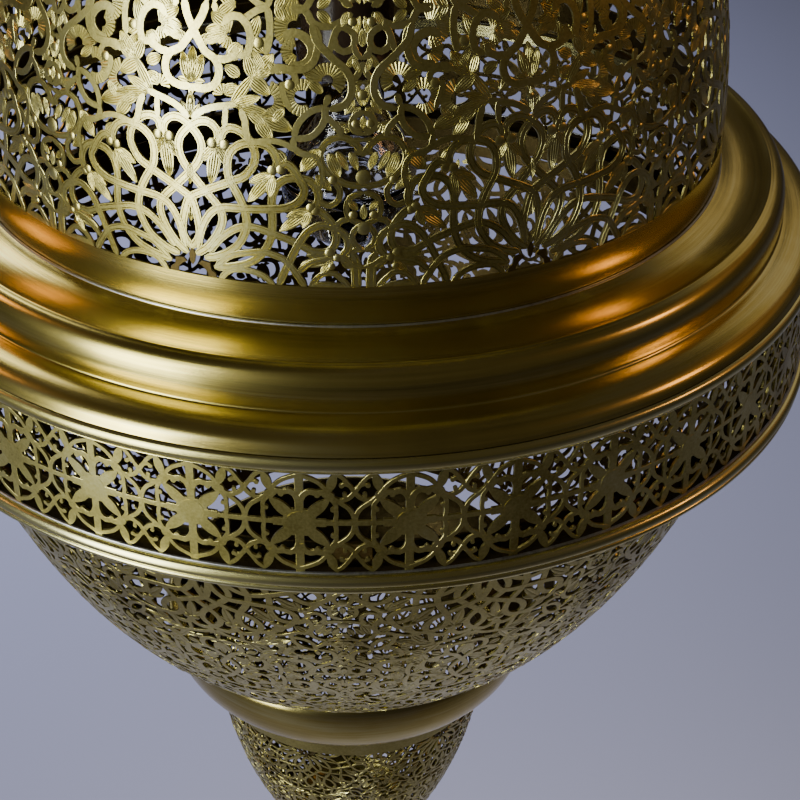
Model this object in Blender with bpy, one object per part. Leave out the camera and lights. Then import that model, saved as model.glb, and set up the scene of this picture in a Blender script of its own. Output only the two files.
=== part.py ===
"""A hanging brass lantern: a pierced egg-shaped body stands on a stepped collar and a pierced frieze, and a
pierced bowl with a smaller bowl under it swings down on a hinge so that the bulb can be reached.

Units are metres and +Z is up. The object hangs from its ring: the origin is where a ceiling hook touches the
inside of the hanging ring. Heights named *_Z below are measured from the lower edge of the spun collar.
"""

import math

import bmesh
import bpy
from mathutils import Matrix, Vector

# Sheet, gaps and fineness
SHEET = 0.0010
HEAVY_SHEET = 0.0014
GAP = 0.0003
SEGMENTS = 32
SMALL_SEGMENTS = 16
SHARP_ANGLE = math.radians(40)

# Egg-shaped upper body
BODY_R = 0.1568
BODY_WIDEST_Z = 0.0440
BODY_HALF_HEIGHT = 0.2350
BODY_BASE_Z = 0.0268
BODY_TOP_R = 0.0460
BODY_RINGS = 9

# Stepped spun collar under the body
RING_R = 0.2000
SLOPE_RUN = 0.01542
STEP_DROP = 0.0018
RIDGE_RUN = 0.0060
RIDGE_DROP = 0.0166
LEDGE = 0.0040

# Frieze and its two rims
UPPER_RIM_H = 0.0061
FRIEZE_H = 0.0441
LOWER_RIM_H = 0.0081
RIM_STANDS_OUT = 0.0030
FLANGE_RUN = 0.0170

# Bowl that hangs under the ring
BOWL_SETBACK = 0.0180
BOWL_DEPTH = 0.1565
BOWL_FOOT_R = 0.0900
BOWL_TURN_IN = 0.0070
BOWL_RIM_T = 0.0020
BOWL_RIM_LAP = 0.0115
SPIGOT_H = 0.0095
SPIGOT_GAP = 0.0028

# Small collar, small bowl and finial
COLLAR2_H = 0.0430
COLLAR2_LIP = 0.0020
COLLAR2_FOOT_R = 0.0700
SMALL_BOWL_DEPTH = 0.1175
SMALL_BOWL_FLAT_R = 0.0300
FINIAL_R = 0.0340
FINIAL_H = 0.0540
STUD_R = 0.0040
STUD_H = 0.0165
NUT_H = 0.0070
NUT_FLATS = 0.0130
WASHER_T = 0.0015

# Neck, crown and stem
NECK_PLATE_T = 0.0016
NECK_COLLAR_H = 0.0340
NECK_SKIRT = 0.0115
CROWN_R = 0.0360
CROWN_H = 0.0270
BALUSTER_R = 0.0140
BALUSTER_H = 0.0220
STEM_R = 0.0050
STEM_BORE_R = 0.0035
STEM_PLAY = 0.0003
STEM_SLACK = 0.0004
STEM_NUT_FLATS = 0.0170

# Eye and hanging ring
EYE_R = 0.0130
EYE_WIRE_R = 0.0035
EYE_FOOT_R = 0.0080
EYE_FOOT_H = 0.0060
RING2_R = 0.0240
RING2_WIRE_R = 0.0035

# Lamp holder and bulb
HOLDER_R = 0.0195
HOLDER_BORE_R = 0.0145
HOLDER_H = 0.0370
HOLDER_CAP_H = 0.0180
HOLDER_TOP_Z = 0.1140
BULB_R = 0.0300
BULB_CAP_R = 0.0132
BULB_CAP_H = 0.0270
BULB_GLASS_T = 0.0008
BULB_NECK_R = 0.0125

# Cable bush in the side of the baluster
BUSH_R = 0.0030
BUSH_BORE_R = 0.0020
BUSH_FLANGE_R = 0.0045
BUSH_FLANGE_T = 0.0015

# Hinge and catch of the bowl
KNUCKLE_R = 0.0024
PIN_R = 0.0012
PIN_PLAY = 0.0003
KNUCKLE_DROP = 0.0001
LEAF_T = 0.0009
HINGE_W = 0.0360
HINGE_SETBACK = 0.0020
LEAF_LAP = 0.0080
CATCH_W = 0.0160
CATCH_H = 0.0080
STRIKE_T = 0.0006
NOSE_R = 0.0020

# Heights that follow from the sizes above, from the collar's lower edge
UPPER_RIM_Z = -GAP
FRIEZE_Z = UPPER_RIM_Z - UPPER_RIM_H - GAP
LOWER_RIM_Z = FRIEZE_Z - FRIEZE_H - GAP
RING_BOTTOM_Z = LOWER_RIM_Z - LOWER_RIM_H
BOWL_RIM_Z = RING_BOTTOM_Z - GAP
BOWL_Z = BOWL_RIM_Z - BOWL_RIM_T - GAP
COLLAR2_Z = BOWL_Z - BOWL_DEPTH - GAP
SMALL_BOWL_Z = COLLAR2_Z - COLLAR2_H - GAP
FINIAL_Z = SMALL_BOWL_Z - SMALL_BOWL_DEPTH - GAP
BODY_TOP_Z = BODY_WIDEST_Z + BODY_HALF_HEIGHT * math.sqrt(1 - (BODY_TOP_R / BODY_R) ** 2)
NECK_PLATE_Z = BODY_TOP_Z + GAP
NECK_COLLAR_Z = BODY_TOP_Z - 0.0040
CROWN_Z = NECK_COLLAR_Z + NECK_COLLAR_H + GAP
BALUSTER_Z = CROWN_Z + CROWN_H + GAP
EYE_FOOT_Z = BALUSTER_Z + BALUSTER_H + GAP
EYE_Z = EYE_FOOT_Z + EYE_FOOT_H - 0.0025 + EYE_R + EYE_WIRE_R
SWING_Z = EYE_Z + EYE_R - EYE_WIRE_R - RING2_WIRE_R - GAP
HOOK_Z = SWING_Z + 2 * RING2_R - RING2_WIRE_R
BOWL_TOP_R = RING_R - BOWL_SETBACK
HINGE_Y = BOWL_TOP_R + BOWL_RIM_LAP + KNUCKLE_R + HINGE_SETBACK
HINGE_Z = RING_BOTTOM_Z - GAP - LEAF_T - GAP - KNUCKLE_R - KNUCKLE_DROP
FLANGE_R = RING_R + RIM_STANDS_OUT - FLANGE_RUN

# Colours, roughness and metallic of the plain CAD materials
BRASS = ((0.60, 0.47, 0.20, 1.0), 0.32, 1.0)
STEEL = ((0.55, 0.55, 0.56, 1.0), 0.35, 1.0)
CERAMIC = ((0.10, 0.065, 0.04, 1.0), 0.20, 0.0)
GLASS = ((0.92, 0.93, 0.92, 1.0), 0.05, 0.0)
RUBBER = ((0.05, 0.05, 0.05, 1.0), 0.60, 0.0)


def clear_scene():
    for obj in list(bpy.data.objects):
        bpy.data.objects.remove(obj, do_unlink=True)


def material(name, look):
    colour, roughness, metallic = look
    made = bpy.data.materials.new(name)
    made.use_nodes = True
    shader = made.node_tree.nodes["Principled BSDF"]
    shader.inputs["Base Color"].default_value = colour
    shader.inputs["Roughness"].default_value = roughness
    shader.inputs["Metallic"].default_value = metallic
    made.diffuse_color = colour
    return made


def pivot(name, height, y=0.0, parent=None):
    """An empty on a joint's axis; its children follow that joint. height is above the collar's lower edge."""
    empty = bpy.data.objects.new(name, None)
    bpy.context.scene.collection.objects.link(empty)
    world = Vector((0.0, y, height - HOOK_Z))
    empty["world_place"] = world
    empty.location = world - (Vector(parent["world_place"]) if parent else Vector())
    empty.parent = parent
    return empty


def add(name, mesh, look, parent, helper=False):
    """Puts a mesh, drawn in the collar's frame, under its pivot."""
    obj = bpy.data.objects.new(name, mesh)
    bpy.context.scene.collection.objects.link(obj)
    obj.parent = parent
    obj.location = Vector((0.0, 0.0, -HOOK_Z)) - Vector(parent["world_place"])
    mesh.materials.append(material(name, look))
    mesh.shade_smooth()
    mesh.set_sharp_from_angle(angle=SHARP_ANGLE)
    if helper:
        obj.hide_render = True
        obj.display_type = "WIRE"
    return obj


def finish_mesh(name, bm):
    bmesh.ops.recalc_face_normals(bm, faces=bm.faces)
    mesh = bpy.data.meshes.new(name)
    bm.to_mesh(mesh)
    bm.free()
    return mesh


def revolve(bm, outline, segments, turn=None):
    """Turns a closed outline of (radius, height) points about the Z axis; points on the axis stay single."""
    place = turn or Matrix()
    rings = []
    for radius, height in outline:
        count = 1 if radius < 1e-7 else segments
        angles = [2 * math.pi * step / segments for step in range(count)]
        rings.append([
            bm.verts.new(place @ Vector((radius * math.cos(a), radius * math.sin(a), height))) for a in angles
        ])
    for here, after in zip(rings, rings[1:] + rings[:1]):
        if len(here) == 1 and len(after) == 1:
            continue
        for step in range(segments):
            following = (step + 1) % segments
            corners = [here[step % len(here)], here[following % len(here)]]
            corners += [after[following % len(after)], after[step % len(after)]]
            bm.faces.new(list(dict.fromkeys(corners)))


def turned(name, outline, look, parent, segments=SEGMENTS):
    bm = bmesh.new()
    revolve(bm, outline, segments)
    return add(name, finish_mesh(name, bm), look, parent)


def curve(start, pull, end, steps):
    """Points of a quadratic curve from start to end, without its first point."""
    points = []
    for step in range(1, steps + 1):
        t = step / steps
        points.append(tuple(
            (1 - t) ** 2 * a + 2 * t * (1 - t) * b + t * t * c for a, b, c in zip(start, pull, end)
        ))
    return points


def walled(outer, thickness):
    """Closes an outline that runs down the outside of a sheet, with the sheet's inside offset by its wall.

    The sheet's two edges are cut level, or upright where the sheet lies nearly flat.
    """
    inner = []
    last = len(outer) - 1
    for index, (radius, height) in enumerate(outer):
        before = outer[max(index - 1, 0)]
        after = outer[min(index + 1, last)]
        along = Vector((after[0] - before[0], after[1] - before[1])).normalized()
        if index in (0, last):
            steep = abs(along.y) > abs(along.x)
            along = Vector((0.0, math.copysign(1.0, along.y)) if steep else (math.copysign(1.0, along.x), 0.0))
        inner.append((radius + along.y * thickness, height - along.x * thickness))
    return outer + inner[::-1]


def arc(centre, radius, start, end, steps):
    """Points of an arc in the (radius, height) plane, angles in degrees from the outward direction."""
    points = []
    for step in range(steps + 1):
        angle = math.radians(start + (end - start) * step / steps)
        points.append((centre[0] + radius * math.cos(angle), centre[1] + radius * math.sin(angle)))
    return points


def body_radius(height):
    return BODY_R * math.sqrt(1 - ((height - BODY_WIDEST_Z) / BODY_HALF_HEIGHT) ** 2)


def box(bm, low, high):
    made = bmesh.ops.create_cube(bm, size=1.0)["verts"]
    for vert in made:
        vert.co = Vector(a if c < 0 else b for a, b, c in zip(low, high, vert.co))
    return made


def boolean(target, other, operation):
    other.hide_render = True
    other.display_type = "WIRE"
    modifier = target.modifiers.new(f"{operation.lower()}_{other.name}", "BOOLEAN")
    modifier.operation = operation
    modifier.object = other
    modifier.solver = "EXACT"


def hex_nut(name, low_z, height, flats, bore_r, look, parent):
    bm = bmesh.new()
    corner = flats / math.sqrt(3)
    loops = []
    for level in (low_z, low_z + height):
        outer = [Vector((corner * math.cos(math.radians(60 * k)), corner * math.sin(math.radians(60 * k)), level))
                 for k in range(6)]
        inner = [Vector((bore_r * math.cos(math.radians(20 * k)), bore_r * math.sin(math.radians(20 * k)), level))
                 for k in range(18)]
        loops.append(([bm.verts.new(v) for v in outer], [bm.verts.new(v) for v in inner]))
    (low_out, low_in), (high_out, high_in) = loops
    for k in range(6):
        bm.faces.new((low_out[k], low_out[(k + 1) % 6], high_out[(k + 1) % 6], high_out[k]))
        for out, inside in ((low_out, low_in), (high_out, high_in)):
            face = [out[k], out[(k + 1) % 6]] + [inside[(3 * k + j) % 18] for j in (3, 2, 1, 0)]
            bm.faces.new(face)
    for k in range(18):
        bm.faces.new((low_in[k], low_in[(k + 1) % 18], high_in[(k + 1) % 18], high_in[k]))
    return add(name, finish_mesh(name, bm), look, parent)


def ring_tube(bm, centre, ring_r, wire_r, axis, segments, sides):
    """A torus round the given axis, X or Y."""
    outline = arc((ring_r, 0.0), wire_r, 0, 360 - 360 / sides, sides - 1)
    if axis == "X":
        turn = Matrix.Rotation(math.radians(90), 4, "Y")
    else:
        turn = Matrix.Rotation(math.radians(90), 4, "X")
    revolve(bm, outline, segments, Matrix.Translation(centre) @ turn)


def make_hanging_ring(parent):
    bm = bmesh.new()
    ring_tube(bm, Vector((0, 0, SWING_Z + RING2_R)), RING2_R, RING2_WIRE_R, "Y", 24, 8)
    add("hanging_ring", finish_mesh("hanging_ring", bm), BRASS, parent)


def make_top_loop(parent):
    foot_top = EYE_FOOT_Z + EYE_FOOT_H
    outline = [(0.0, foot_top), (EYE_FOOT_R * 0.6, foot_top), (EYE_FOOT_R, foot_top - 0.0030)]
    outline += [(EYE_FOOT_R, EYE_FOOT_Z), (0.0, EYE_FOOT_Z)]
    bm = bmesh.new()
    revolve(bm, outline, SMALL_SEGMENTS)
    foot = add("top_loop", finish_mesh("top_loop", bm), BRASS, parent)
    bm = bmesh.new()
    ring_tube(bm, Vector((0, 0, EYE_Z)), EYE_R, EYE_WIRE_R, "X", 20, 8)
    eye = add("top_loop_eye", finish_mesh("top_loop_eye", bm), BRASS, parent, helper=True)
    boolean(foot, eye, "UNION")


def make_baluster(parent):
    base, top = BALUSTER_Z, BALUSTER_Z + BALUSTER_H
    hole = STEM_R + STEM_PLAY
    outline = [(hole, top), (BALUSTER_R * 0.70, top), (BALUSTER_R * 0.70, top - 0.0030)]
    outline += [(BALUSTER_R * 0.58, top - 0.0050)]
    outline += arc((BALUSTER_R * 0.60, base + 0.0080), BALUSTER_R * 0.40, 70, -70, 4)
    outline += [(BALUSTER_R * 0.80, base + 0.0012), (BALUSTER_R * 0.80, base), (hole, base)]
    baluster = turned("loop_baluster", outline, BRASS, parent, SMALL_SEGMENTS)
    sideways = Matrix.Translation((0, 0, base + 0.0080)) @ Matrix.Rotation(math.radians(-90), 4, "X")
    bm = bmesh.new()
    reach = (0.0, BALUSTER_R + 0.0050)
    revolve(bm, [(0.0, reach[1]), (BUSH_R + GAP, reach[1]), (BUSH_R + GAP, reach[0]), (0.0, reach[0])],
            SMALL_SEGMENTS, sideways)
    cutter = add("bush_hole", finish_mesh("bush_hole", bm), BRASS, parent, helper=True)
    boolean(baluster, cutter, "DIFFERENCE")
    inner = STEM_R + STEM_PLAY + STEM_SLACK
    outer = BALUSTER_R + GAP
    bush = [(BUSH_BORE_R, outer + BUSH_FLANGE_T), (BUSH_FLANGE_R, outer + BUSH_FLANGE_T)]
    bush += [(BUSH_FLANGE_R, outer), (BUSH_R, outer), (BUSH_R, inner), (BUSH_BORE_R, inner)]
    bm = bmesh.new()
    revolve(bm, bush, 16, sideways)
    add("cable_bush", finish_mesh("cable_bush", bm), RUBBER, parent)


def make_crown(parent):
    top = CROWN_Z + CROWN_H
    hole = STEM_R + STEM_PLAY
    outer = [(hole, top), (CROWN_R * 0.30, top)]
    outer += curve(outer[-1], (CROWN_R * 0.92, top - 0.0030), (CROWN_R * 0.94, CROWN_Z + 0.0060), 6)
    outer += [(CROWN_R, CROWN_Z + 0.0040), (CROWN_R, CROWN_Z)]
    turned("crown_cap", walled(outer, SHEET), BRASS, parent, 24)


def make_neck(parent):
    low, top = NECK_COLLAR_Z, NECK_COLLAR_Z + NECK_COLLAR_H
    skirt = BODY_TOP_R + NECK_SKIRT
    shoulder = skirt * 0.84
    throat = CROWN_R - 0.0060
    outer = [(throat, top)]
    outer += curve(outer[-1], (throat, low + 0.0130), (shoulder, low + 0.0125), 4)
    outer += curve(outer[-1], (skirt, low + 0.0125), (skirt + 0.0010, low + 0.0040), 4)
    outer += [(skirt, low)]
    turned("neck_collar", walled(outer, SHEET), BRASS, parent, 32)
    hole = STEM_R + STEM_PLAY
    plate_r = BODY_TOP_R + 0.0030
    high = NECK_PLATE_Z + NECK_PLATE_T
    plate = [(hole, high), (plate_r, high), (plate_r, NECK_PLATE_Z), (hole, NECK_PLATE_Z)]
    turned("neck_plate", plate, BRASS, parent, 32)
    washer_z = NECK_PLATE_Z - GAP - WASHER_T
    washer = [(hole, washer_z + WASHER_T), (0.0125, washer_z + WASHER_T), (0.0125, washer_z), (hole, washer_z)]
    turned("neck_washer", washer, STEEL, parent, SMALL_SEGMENTS)
    hex_nut("neck_nut", washer_z - GAP - NUT_H, NUT_H, STEM_NUT_FLATS, hole, STEEL, parent)


def make_stem(parent):
    low = HOLDER_TOP_Z - HOLDER_CAP_H + 0.0040
    high = BALUSTER_Z + BALUSTER_H - 0.0015
    outline = [(STEM_BORE_R, high), (STEM_R, high), (STEM_R, low), (STEM_BORE_R, low)]
    stem = turned("stem_tube", outline, STEEL, parent, 16)
    sideways = Matrix.Translation((0, 0, BALUSTER_Z + 0.0080)) @ Matrix.Rotation(math.radians(-90), 4, "X")
    bm = bmesh.new()
    revolve(bm, [(0.0, 0.0080), (BUSH_BORE_R, 0.0080), (BUSH_BORE_R, 0.0), (0.0, 0.0)], 16, sideways)
    cutter = add("cable_hole", finish_mesh("cable_hole", bm), STEEL, parent, helper=True)
    boolean(stem, cutter, "DIFFERENCE")
    hex_nut("holder_nut", HOLDER_TOP_Z + GAP, NUT_H * 0.7, STEM_NUT_FLATS, STEM_R + STEM_PLAY, STEEL, parent)


def make_holder(parent):
    top = HOLDER_TOP_Z
    low = top - HOLDER_CAP_H
    hole = STEM_R + STEM_PLAY
    outer = [(hole, top), (HOLDER_R * 0.55, top)]
    outer += curve(outer[-1], (HOLDER_R, top), (HOLDER_R, low + 0.0060), 4)
    outer += [(HOLDER_R, low)]
    turned("holder_cap", walled(outer, 0.0022), CERAMIC, parent, SMALL_SEGMENTS)
    body_top = low - GAP
    body_low = body_top - HOLDER_H
    body = [(HOLDER_BORE_R, body_top), (HOLDER_R, body_top), (HOLDER_R, body_low + 0.0100)]
    body += [(HOLDER_R * 1.10, body_low + 0.0080), (HOLDER_R * 1.10, body_low), (HOLDER_BORE_R, body_low)]
    turned("holder_body", body, CERAMIC, parent, SMALL_SEGMENTS)
    return body_low


def make_bulb(parent, holder_low):
    cap_low = holder_low + 0.0035
    cap_top = cap_low + BULB_CAP_H
    cap = [(0.0, cap_top + 0.0030), (0.0045, cap_top + 0.0025), (BULB_CAP_R * 0.85, cap_top)]
    cap += [(BULB_CAP_R, cap_top - 0.0030), (BULB_CAP_R, cap_low), (0.0, cap_low)]
    turned("bulb_cap", cap, STEEL, parent, SMALL_SEGMENTS)
    neck_z = cap_low - GAP
    centre_z = neck_z - 0.0570
    outer = [(BULB_NECK_R, neck_z), (BULB_NECK_R, neck_z - 0.0080)]
    outer += curve(outer[-1], (BULB_NECK_R + 0.0010, neck_z - 0.0220), (BULB_R * 0.80, neck_z - 0.0370), 4)
    outer += arc((0.0, centre_z), BULB_R, 35, -90, 5)
    inner = [(max(r - BULB_GLASS_T, 0.0), z) for r, z in outer[:-6]]
    inner += arc((0.0, centre_z), BULB_R - BULB_GLASS_T, 35, -90, 5)
    outer[-1] = (0.0, outer[-1][1])
    inner[-1] = (0.0, inner[-1][1])
    turned("bulb_glass", outer + inner[::-1], GLASS, parent, SMALL_SEGMENTS)


def make_upper_body(parent):
    outer = []
    for step in range(BODY_RINGS):
        share = step / (BODY_RINGS - 1)
        angle = math.acos(BODY_TOP_R / BODY_R) * (1 - share)
        angle -= math.asin((BODY_WIDEST_Z - BODY_BASE_Z) / BODY_HALF_HEIGHT) * share
        outer.append((BODY_R * math.cos(angle), BODY_WIDEST_Z + BODY_HALF_HEIGHT * math.sin(angle)))
    turned("upper_body", walled(outer, SHEET), BRASS, parent)


def make_ring_collar(parent):
    base_r = body_radius(BODY_BASE_Z)
    top = BODY_BASE_Z - GAP
    step_run = RING_R - SLOPE_RUN - RIDGE_RUN - base_r
    step = (base_r + step_run, top - STEP_DROP)
    ridge = (step[0] + RIDGE_RUN, step[1] - RIDGE_DROP)
    outer = [(base_r - LEDGE, top), (base_r + 0.0012, top)]
    outer += curve(outer[-1], (base_r + 0.4 * step_run, step[1] - 0.0025), step, 4)
    outer += curve(step, (ridge[0] + 0.0020, step[1] - 0.0010), ridge, 4)
    outer += curve(ridge, (RING_R - 0.0010, ridge[1] - 0.0005), (RING_R, 0.0), 4)
    turned("ring_collar", walled(outer, HEAVY_SHEET), BRASS, parent)


def make_rims_and_frieze(parent):
    half = UPPER_RIM_H / 2
    rim = arc((RING_R - 0.0010, UPPER_RIM_Z - half), half, 90, -90, 4)
    rim += [(RING_R - 0.0040, UPPER_RIM_Z - UPPER_RIM_H), (RING_R - 0.0040, UPPER_RIM_Z)]
    turned("upper_rim", rim, BRASS, parent)
    wall_r = RING_R - 0.0005
    band = [(wall_r, FRIEZE_Z), (wall_r, FRIEZE_Z - FRIEZE_H)]
    band += [(wall_r - SHEET, FRIEZE_Z - FRIEZE_H), (wall_r - SHEET, FRIEZE_Z)]
    turned("frieze_band", band, BRASS, parent)
    out_r = RING_R + RIM_STANDS_OUT
    lower = [(wall_r - 0.0035, LOWER_RIM_Z), (wall_r, LOWER_RIM_Z)]
    lower += curve(lower[-1], (out_r, LOWER_RIM_Z), (out_r, LOWER_RIM_Z - 0.45 * LOWER_RIM_H), 4)
    lower += curve(lower[-1], (out_r, RING_BOTTOM_Z), (out_r - 0.0025, RING_BOTTOM_Z), 3)
    lower += [(FLANGE_R, RING_BOTTOM_Z), (FLANGE_R, RING_BOTTOM_Z + HEAVY_SHEET)]
    lower += [(wall_r - 0.0035, RING_BOTTOM_Z + HEAVY_SHEET)]
    turned("lower_rim", lower, BRASS, parent)


def make_bowl(parent):
    spigot_r = FLANGE_R - SPIGOT_GAP
    low, high = BOWL_RIM_Z - BOWL_RIM_T, BOWL_RIM_Z
    edge = BOWL_TOP_R + BOWL_RIM_LAP
    rim = [(spigot_r, high + SPIGOT_H), (spigot_r, high), (edge - 0.0008, high), (edge, high - 0.0007)]
    rim += [(edge, low + 0.0006), (edge - 0.0008, low)]
    rim += [(spigot_r - SHEET, low), (spigot_r - SHEET, high + SPIGOT_H)]
    turned("bowl_rim", rim, BRASS, parent)
    foot_z = BOWL_Z - BOWL_DEPTH
    shoulder = (BOWL_FOOT_R + BOWL_TURN_IN, foot_z + 0.35 * BOWL_TURN_IN)
    pull = (BOWL_FOOT_R + 0.72 * (BOWL_TOP_R - BOWL_FOOT_R), foot_z + 0.33 * BOWL_DEPTH)
    outer = [(BOWL_TOP_R, BOWL_Z)]
    outer += curve(outer[-1], pull, shoulder, 6)
    outer += [(BOWL_FOOT_R + 0.50 * BOWL_TURN_IN, foot_z + 0.04 * BOWL_TURN_IN), (BOWL_FOOT_R, foot_z)]
    turned("lower_bowl", walled(outer, SHEET), BRASS, parent)


def make_small_collar(parent):
    lip_r = BOWL_FOOT_R + COLLAR2_LIP
    foot_z = COLLAR2_Z - COLLAR2_H
    waist = (lip_r - 0.0045, COLLAR2_Z - 0.62 * COLLAR2_H)
    outer = [(BOWL_FOOT_R - 0.0045, COLLAR2_Z), (lip_r - 0.0008, COLLAR2_Z), (lip_r, COLLAR2_Z - 0.0010)]
    outer += curve(outer[-1], (waist[0], COLLAR2_Z - 0.25 * COLLAR2_H), waist, 3)
    outer += curve(waist, (waist[0] - 0.0010, foot_z + 0.0015), (COLLAR2_FOOT_R, foot_z), 4)
    turned("bowl_collar", walled(outer, HEAVY_SHEET), BRASS, parent)


def make_small_bowl(parent):
    top_r = COLLAR2_FOOT_R - 0.0006
    foot_z = SMALL_BOWL_Z - SMALL_BOWL_DEPTH
    pull = (SMALL_BOWL_FLAT_R + 0.83 * (top_r - SMALL_BOWL_FLAT_R), foot_z + 0.42 * SMALL_BOWL_DEPTH)
    outer = [(top_r, SMALL_BOWL_Z)]
    outer += curve(outer[-1], pull, (SMALL_BOWL_FLAT_R, foot_z + 0.0030), 6)
    outer += [(SMALL_BOWL_FLAT_R - 0.0040, foot_z), (STUD_R + STEM_PLAY, foot_z)]
    turned("small_bowl", walled(outer, SHEET), BRASS, parent)
    return foot_z


def make_finial(parent, plate_z):
    bottom = FINIAL_Z - FINIAL_H
    outline = [(0.0, FINIAL_Z + STUD_H), (STUD_R, FINIAL_Z + STUD_H), (STUD_R, FINIAL_Z)]
    outline += [(FINIAL_R - 0.0012, FINIAL_Z), (FINIAL_R, FINIAL_Z - 0.0015)]
    outline += curve(outline[-1], (FINIAL_R * 0.86, FINIAL_Z - 0.0110), (FINIAL_R * 0.28, FINIAL_Z - 0.0125), 4)
    outline += arc((FINIAL_R * 0.20, FINIAL_Z - 0.0240), FINIAL_R * 0.30, 75, -75, 6)
    outline += [(FINIAL_R * 0.17, FINIAL_Z - 0.0370)]
    outline += arc((0.0, bottom + 0.0070), 0.0070, 55, -90, 5)
    outline[-1] = (0.0, bottom)
    turned("finial", outline, BRASS, parent, 24)
    washer_z = plate_z + SHEET + GAP
    hole = STUD_R + STEM_PLAY
    washer = [(hole, washer_z + WASHER_T), (0.0110, washer_z + WASHER_T), (0.0110, washer_z), (hole, washer_z)]
    turned("finial_washer", washer, STEEL, parent, SMALL_SEGMENTS)
    hex_nut("finial_nut", washer_z + WASHER_T + GAP, NUT_H, NUT_FLATS, hole, STEEL, parent)


def barrel(bm, x_low, x_high, bore_r):
    """A hinge knuckle, a tube along X round the hinge pin."""
    outline = [(bore_r, x_high), (KNUCKLE_R, x_high), (KNUCKLE_R, x_low), (bore_r, x_low)]
    turn = Matrix.Translation((0, HINGE_Y, HINGE_Z)) @ Matrix.Rotation(math.radians(90), 4, "Y")
    revolve(bm, outline, 16, turn)


def make_hinge(lantern, bowl):
    half = HINGE_W / 2
    third = HINGE_W / 6
    bore = PIN_R + PIN_PLAY
    bm = bmesh.new()
    barrel(bm, -third, third, bore)
    fixed = add("hinge_leaf_ring", finish_mesh("hinge_leaf_ring", bm), BRASS, lantern)
    bm = bmesh.new()
    top = RING_BOTTOM_Z - GAP
    box(bm, (-third, HINGE_Y - KNUCKLE_R * 0.7, HINGE_Z + bore * 1.05),
        (third, HINGE_Y + KNUCKLE_R * 0.7, top - LEAF_T * 0.5))
    web = add("hinge_web", finish_mesh("hinge_web", bm), BRASS, lantern, helper=True)
    boolean(fixed, web, "UNION")
    bm = bmesh.new()
    box(bm, (-half, HINGE_Y - KNUCKLE_R, top - LEAF_T), (half, RING_R - 0.0010, top))
    plate = add("hinge_plate", finish_mesh("hinge_plate", bm), BRASS, lantern, helper=True)
    boolean(fixed, plate, "UNION")
    inner_y = HINGE_Y - KNUCKLE_R - LEAF_LAP
    leaf_top = BOWL_Z
    for side, (x_low, x_high) in (("left", (-half, -third - GAP)), ("right", (third + GAP, half))):
        bm = bmesh.new()
        barrel(bm, x_low, x_high, bore)
        leaf = add(f"hinge_leaf_bowl_{side}", finish_mesh(f"hinge_leaf_bowl_{side}", bm), BRASS, bowl)
        bm = bmesh.new()
        box(bm, (x_low, inner_y, leaf_top - LEAF_T), (x_high, HINGE_Y - bore * 1.05, leaf_top))
        tab = add(f"hinge_tab_{side}", finish_mesh(f"hinge_tab_{side}", bm), BRASS, bowl, helper=True)
        boolean(leaf, tab, "UNION")
    bm = bmesh.new()
    turn = Matrix.Translation((0, HINGE_Y, HINGE_Z)) @ Matrix.Rotation(math.radians(90), 4, "Y")
    head = half + GAP
    pin = [(0.0, head + 0.0012), (KNUCKLE_R * 0.85, head + 0.0012), (KNUCKLE_R * 0.85, head)]
    pin += [(PIN_R, head), (PIN_R, -half - 0.0010), (0.0, -half - 0.0010)]
    revolve(bm, pin, 16, turn)
    add("hinge_pin", finish_mesh("hinge_pin", bm), STEEL, lantern)


def make_catch(lantern, bowl):
    spigot_r = FLANGE_R - SPIGOT_GAP
    low = RING_BOTTOM_Z + HEAVY_SHEET + GAP
    nose_z = low + CATCH_H * 0.40
    strike_face = spigot_r + GAP + STRIKE_T
    bm = bmesh.new()
    box(bm, (-CATCH_W / 2, -FLANGE_R - 0.0075, low), (CATCH_W / 2, -FLANGE_R + 0.0010, low + CATCH_H))
    body = add("catch_body", finish_mesh("catch_body", bm), BRASS, lantern)
    bm = bmesh.new()
    reach = FLANGE_R - 0.0010 - strike_face - GAP
    nose = [(0.0, reach), (NOSE_R * 0.55, reach), (NOSE_R, reach - 0.0006), (NOSE_R, -0.0020), (0.0, -0.0020)]
    turn = Matrix.Translation((0, -FLANGE_R + 0.0010, nose_z)) @ Matrix.Rotation(math.radians(-90), 4, "X")
    revolve(bm, nose, 16, turn)
    ball = add("catch_nose", finish_mesh("catch_nose", bm), BRASS, lantern, helper=True)
    boolean(body, ball, "UNION")
    bm = bmesh.new()
    box(bm, (-CATCH_W * 0.35, -strike_face, BOWL_RIM_Z + 0.0020),
        (CATCH_W * 0.35, -strike_face + STRIKE_T, BOWL_RIM_Z + SPIGOT_H - 0.0010))
    add("catch_strike", finish_mesh("catch_strike", bm), STEEL, bowl)


def main():
    clear_scene()
    hook = pivot("hook_pivot", HOOK_Z)
    lantern = pivot("lantern_pivot", SWING_Z, parent=hook)
    bowl = pivot("bowl_pivot", HINGE_Z, y=HINGE_Y, parent=lantern)
    bulb = pivot("bulb_pivot", HOLDER_TOP_Z - HOLDER_CAP_H - HOLDER_H, parent=lantern)
    make_hanging_ring(hook)
    make_top_loop(lantern)
    make_baluster(lantern)
    make_crown(lantern)
    make_neck(lantern)
    make_stem(lantern)
    holder_low = make_holder(lantern)
    make_bulb(bulb, holder_low)
    make_upper_body(lantern)
    make_ring_collar(lantern)
    make_rims_and_frieze(lantern)
    make_bowl(bowl)
    make_small_collar(bowl)
    plate_z = make_small_bowl(bowl)
    make_finial(bowl, plate_z)
    make_hinge(lantern, bowl)
    make_catch(lantern, bowl)


main()
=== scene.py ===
"""Looks of the hanging brass lantern: pierced and engraved sheet, spun collars, solder, lamp and studio.

Plain lengths in the motif tables are millimetres; everything that is built is in metres, in the row frame.
"""

import math

import bpy
import numpy as np
from mathutils import Matrix, Vector


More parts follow.
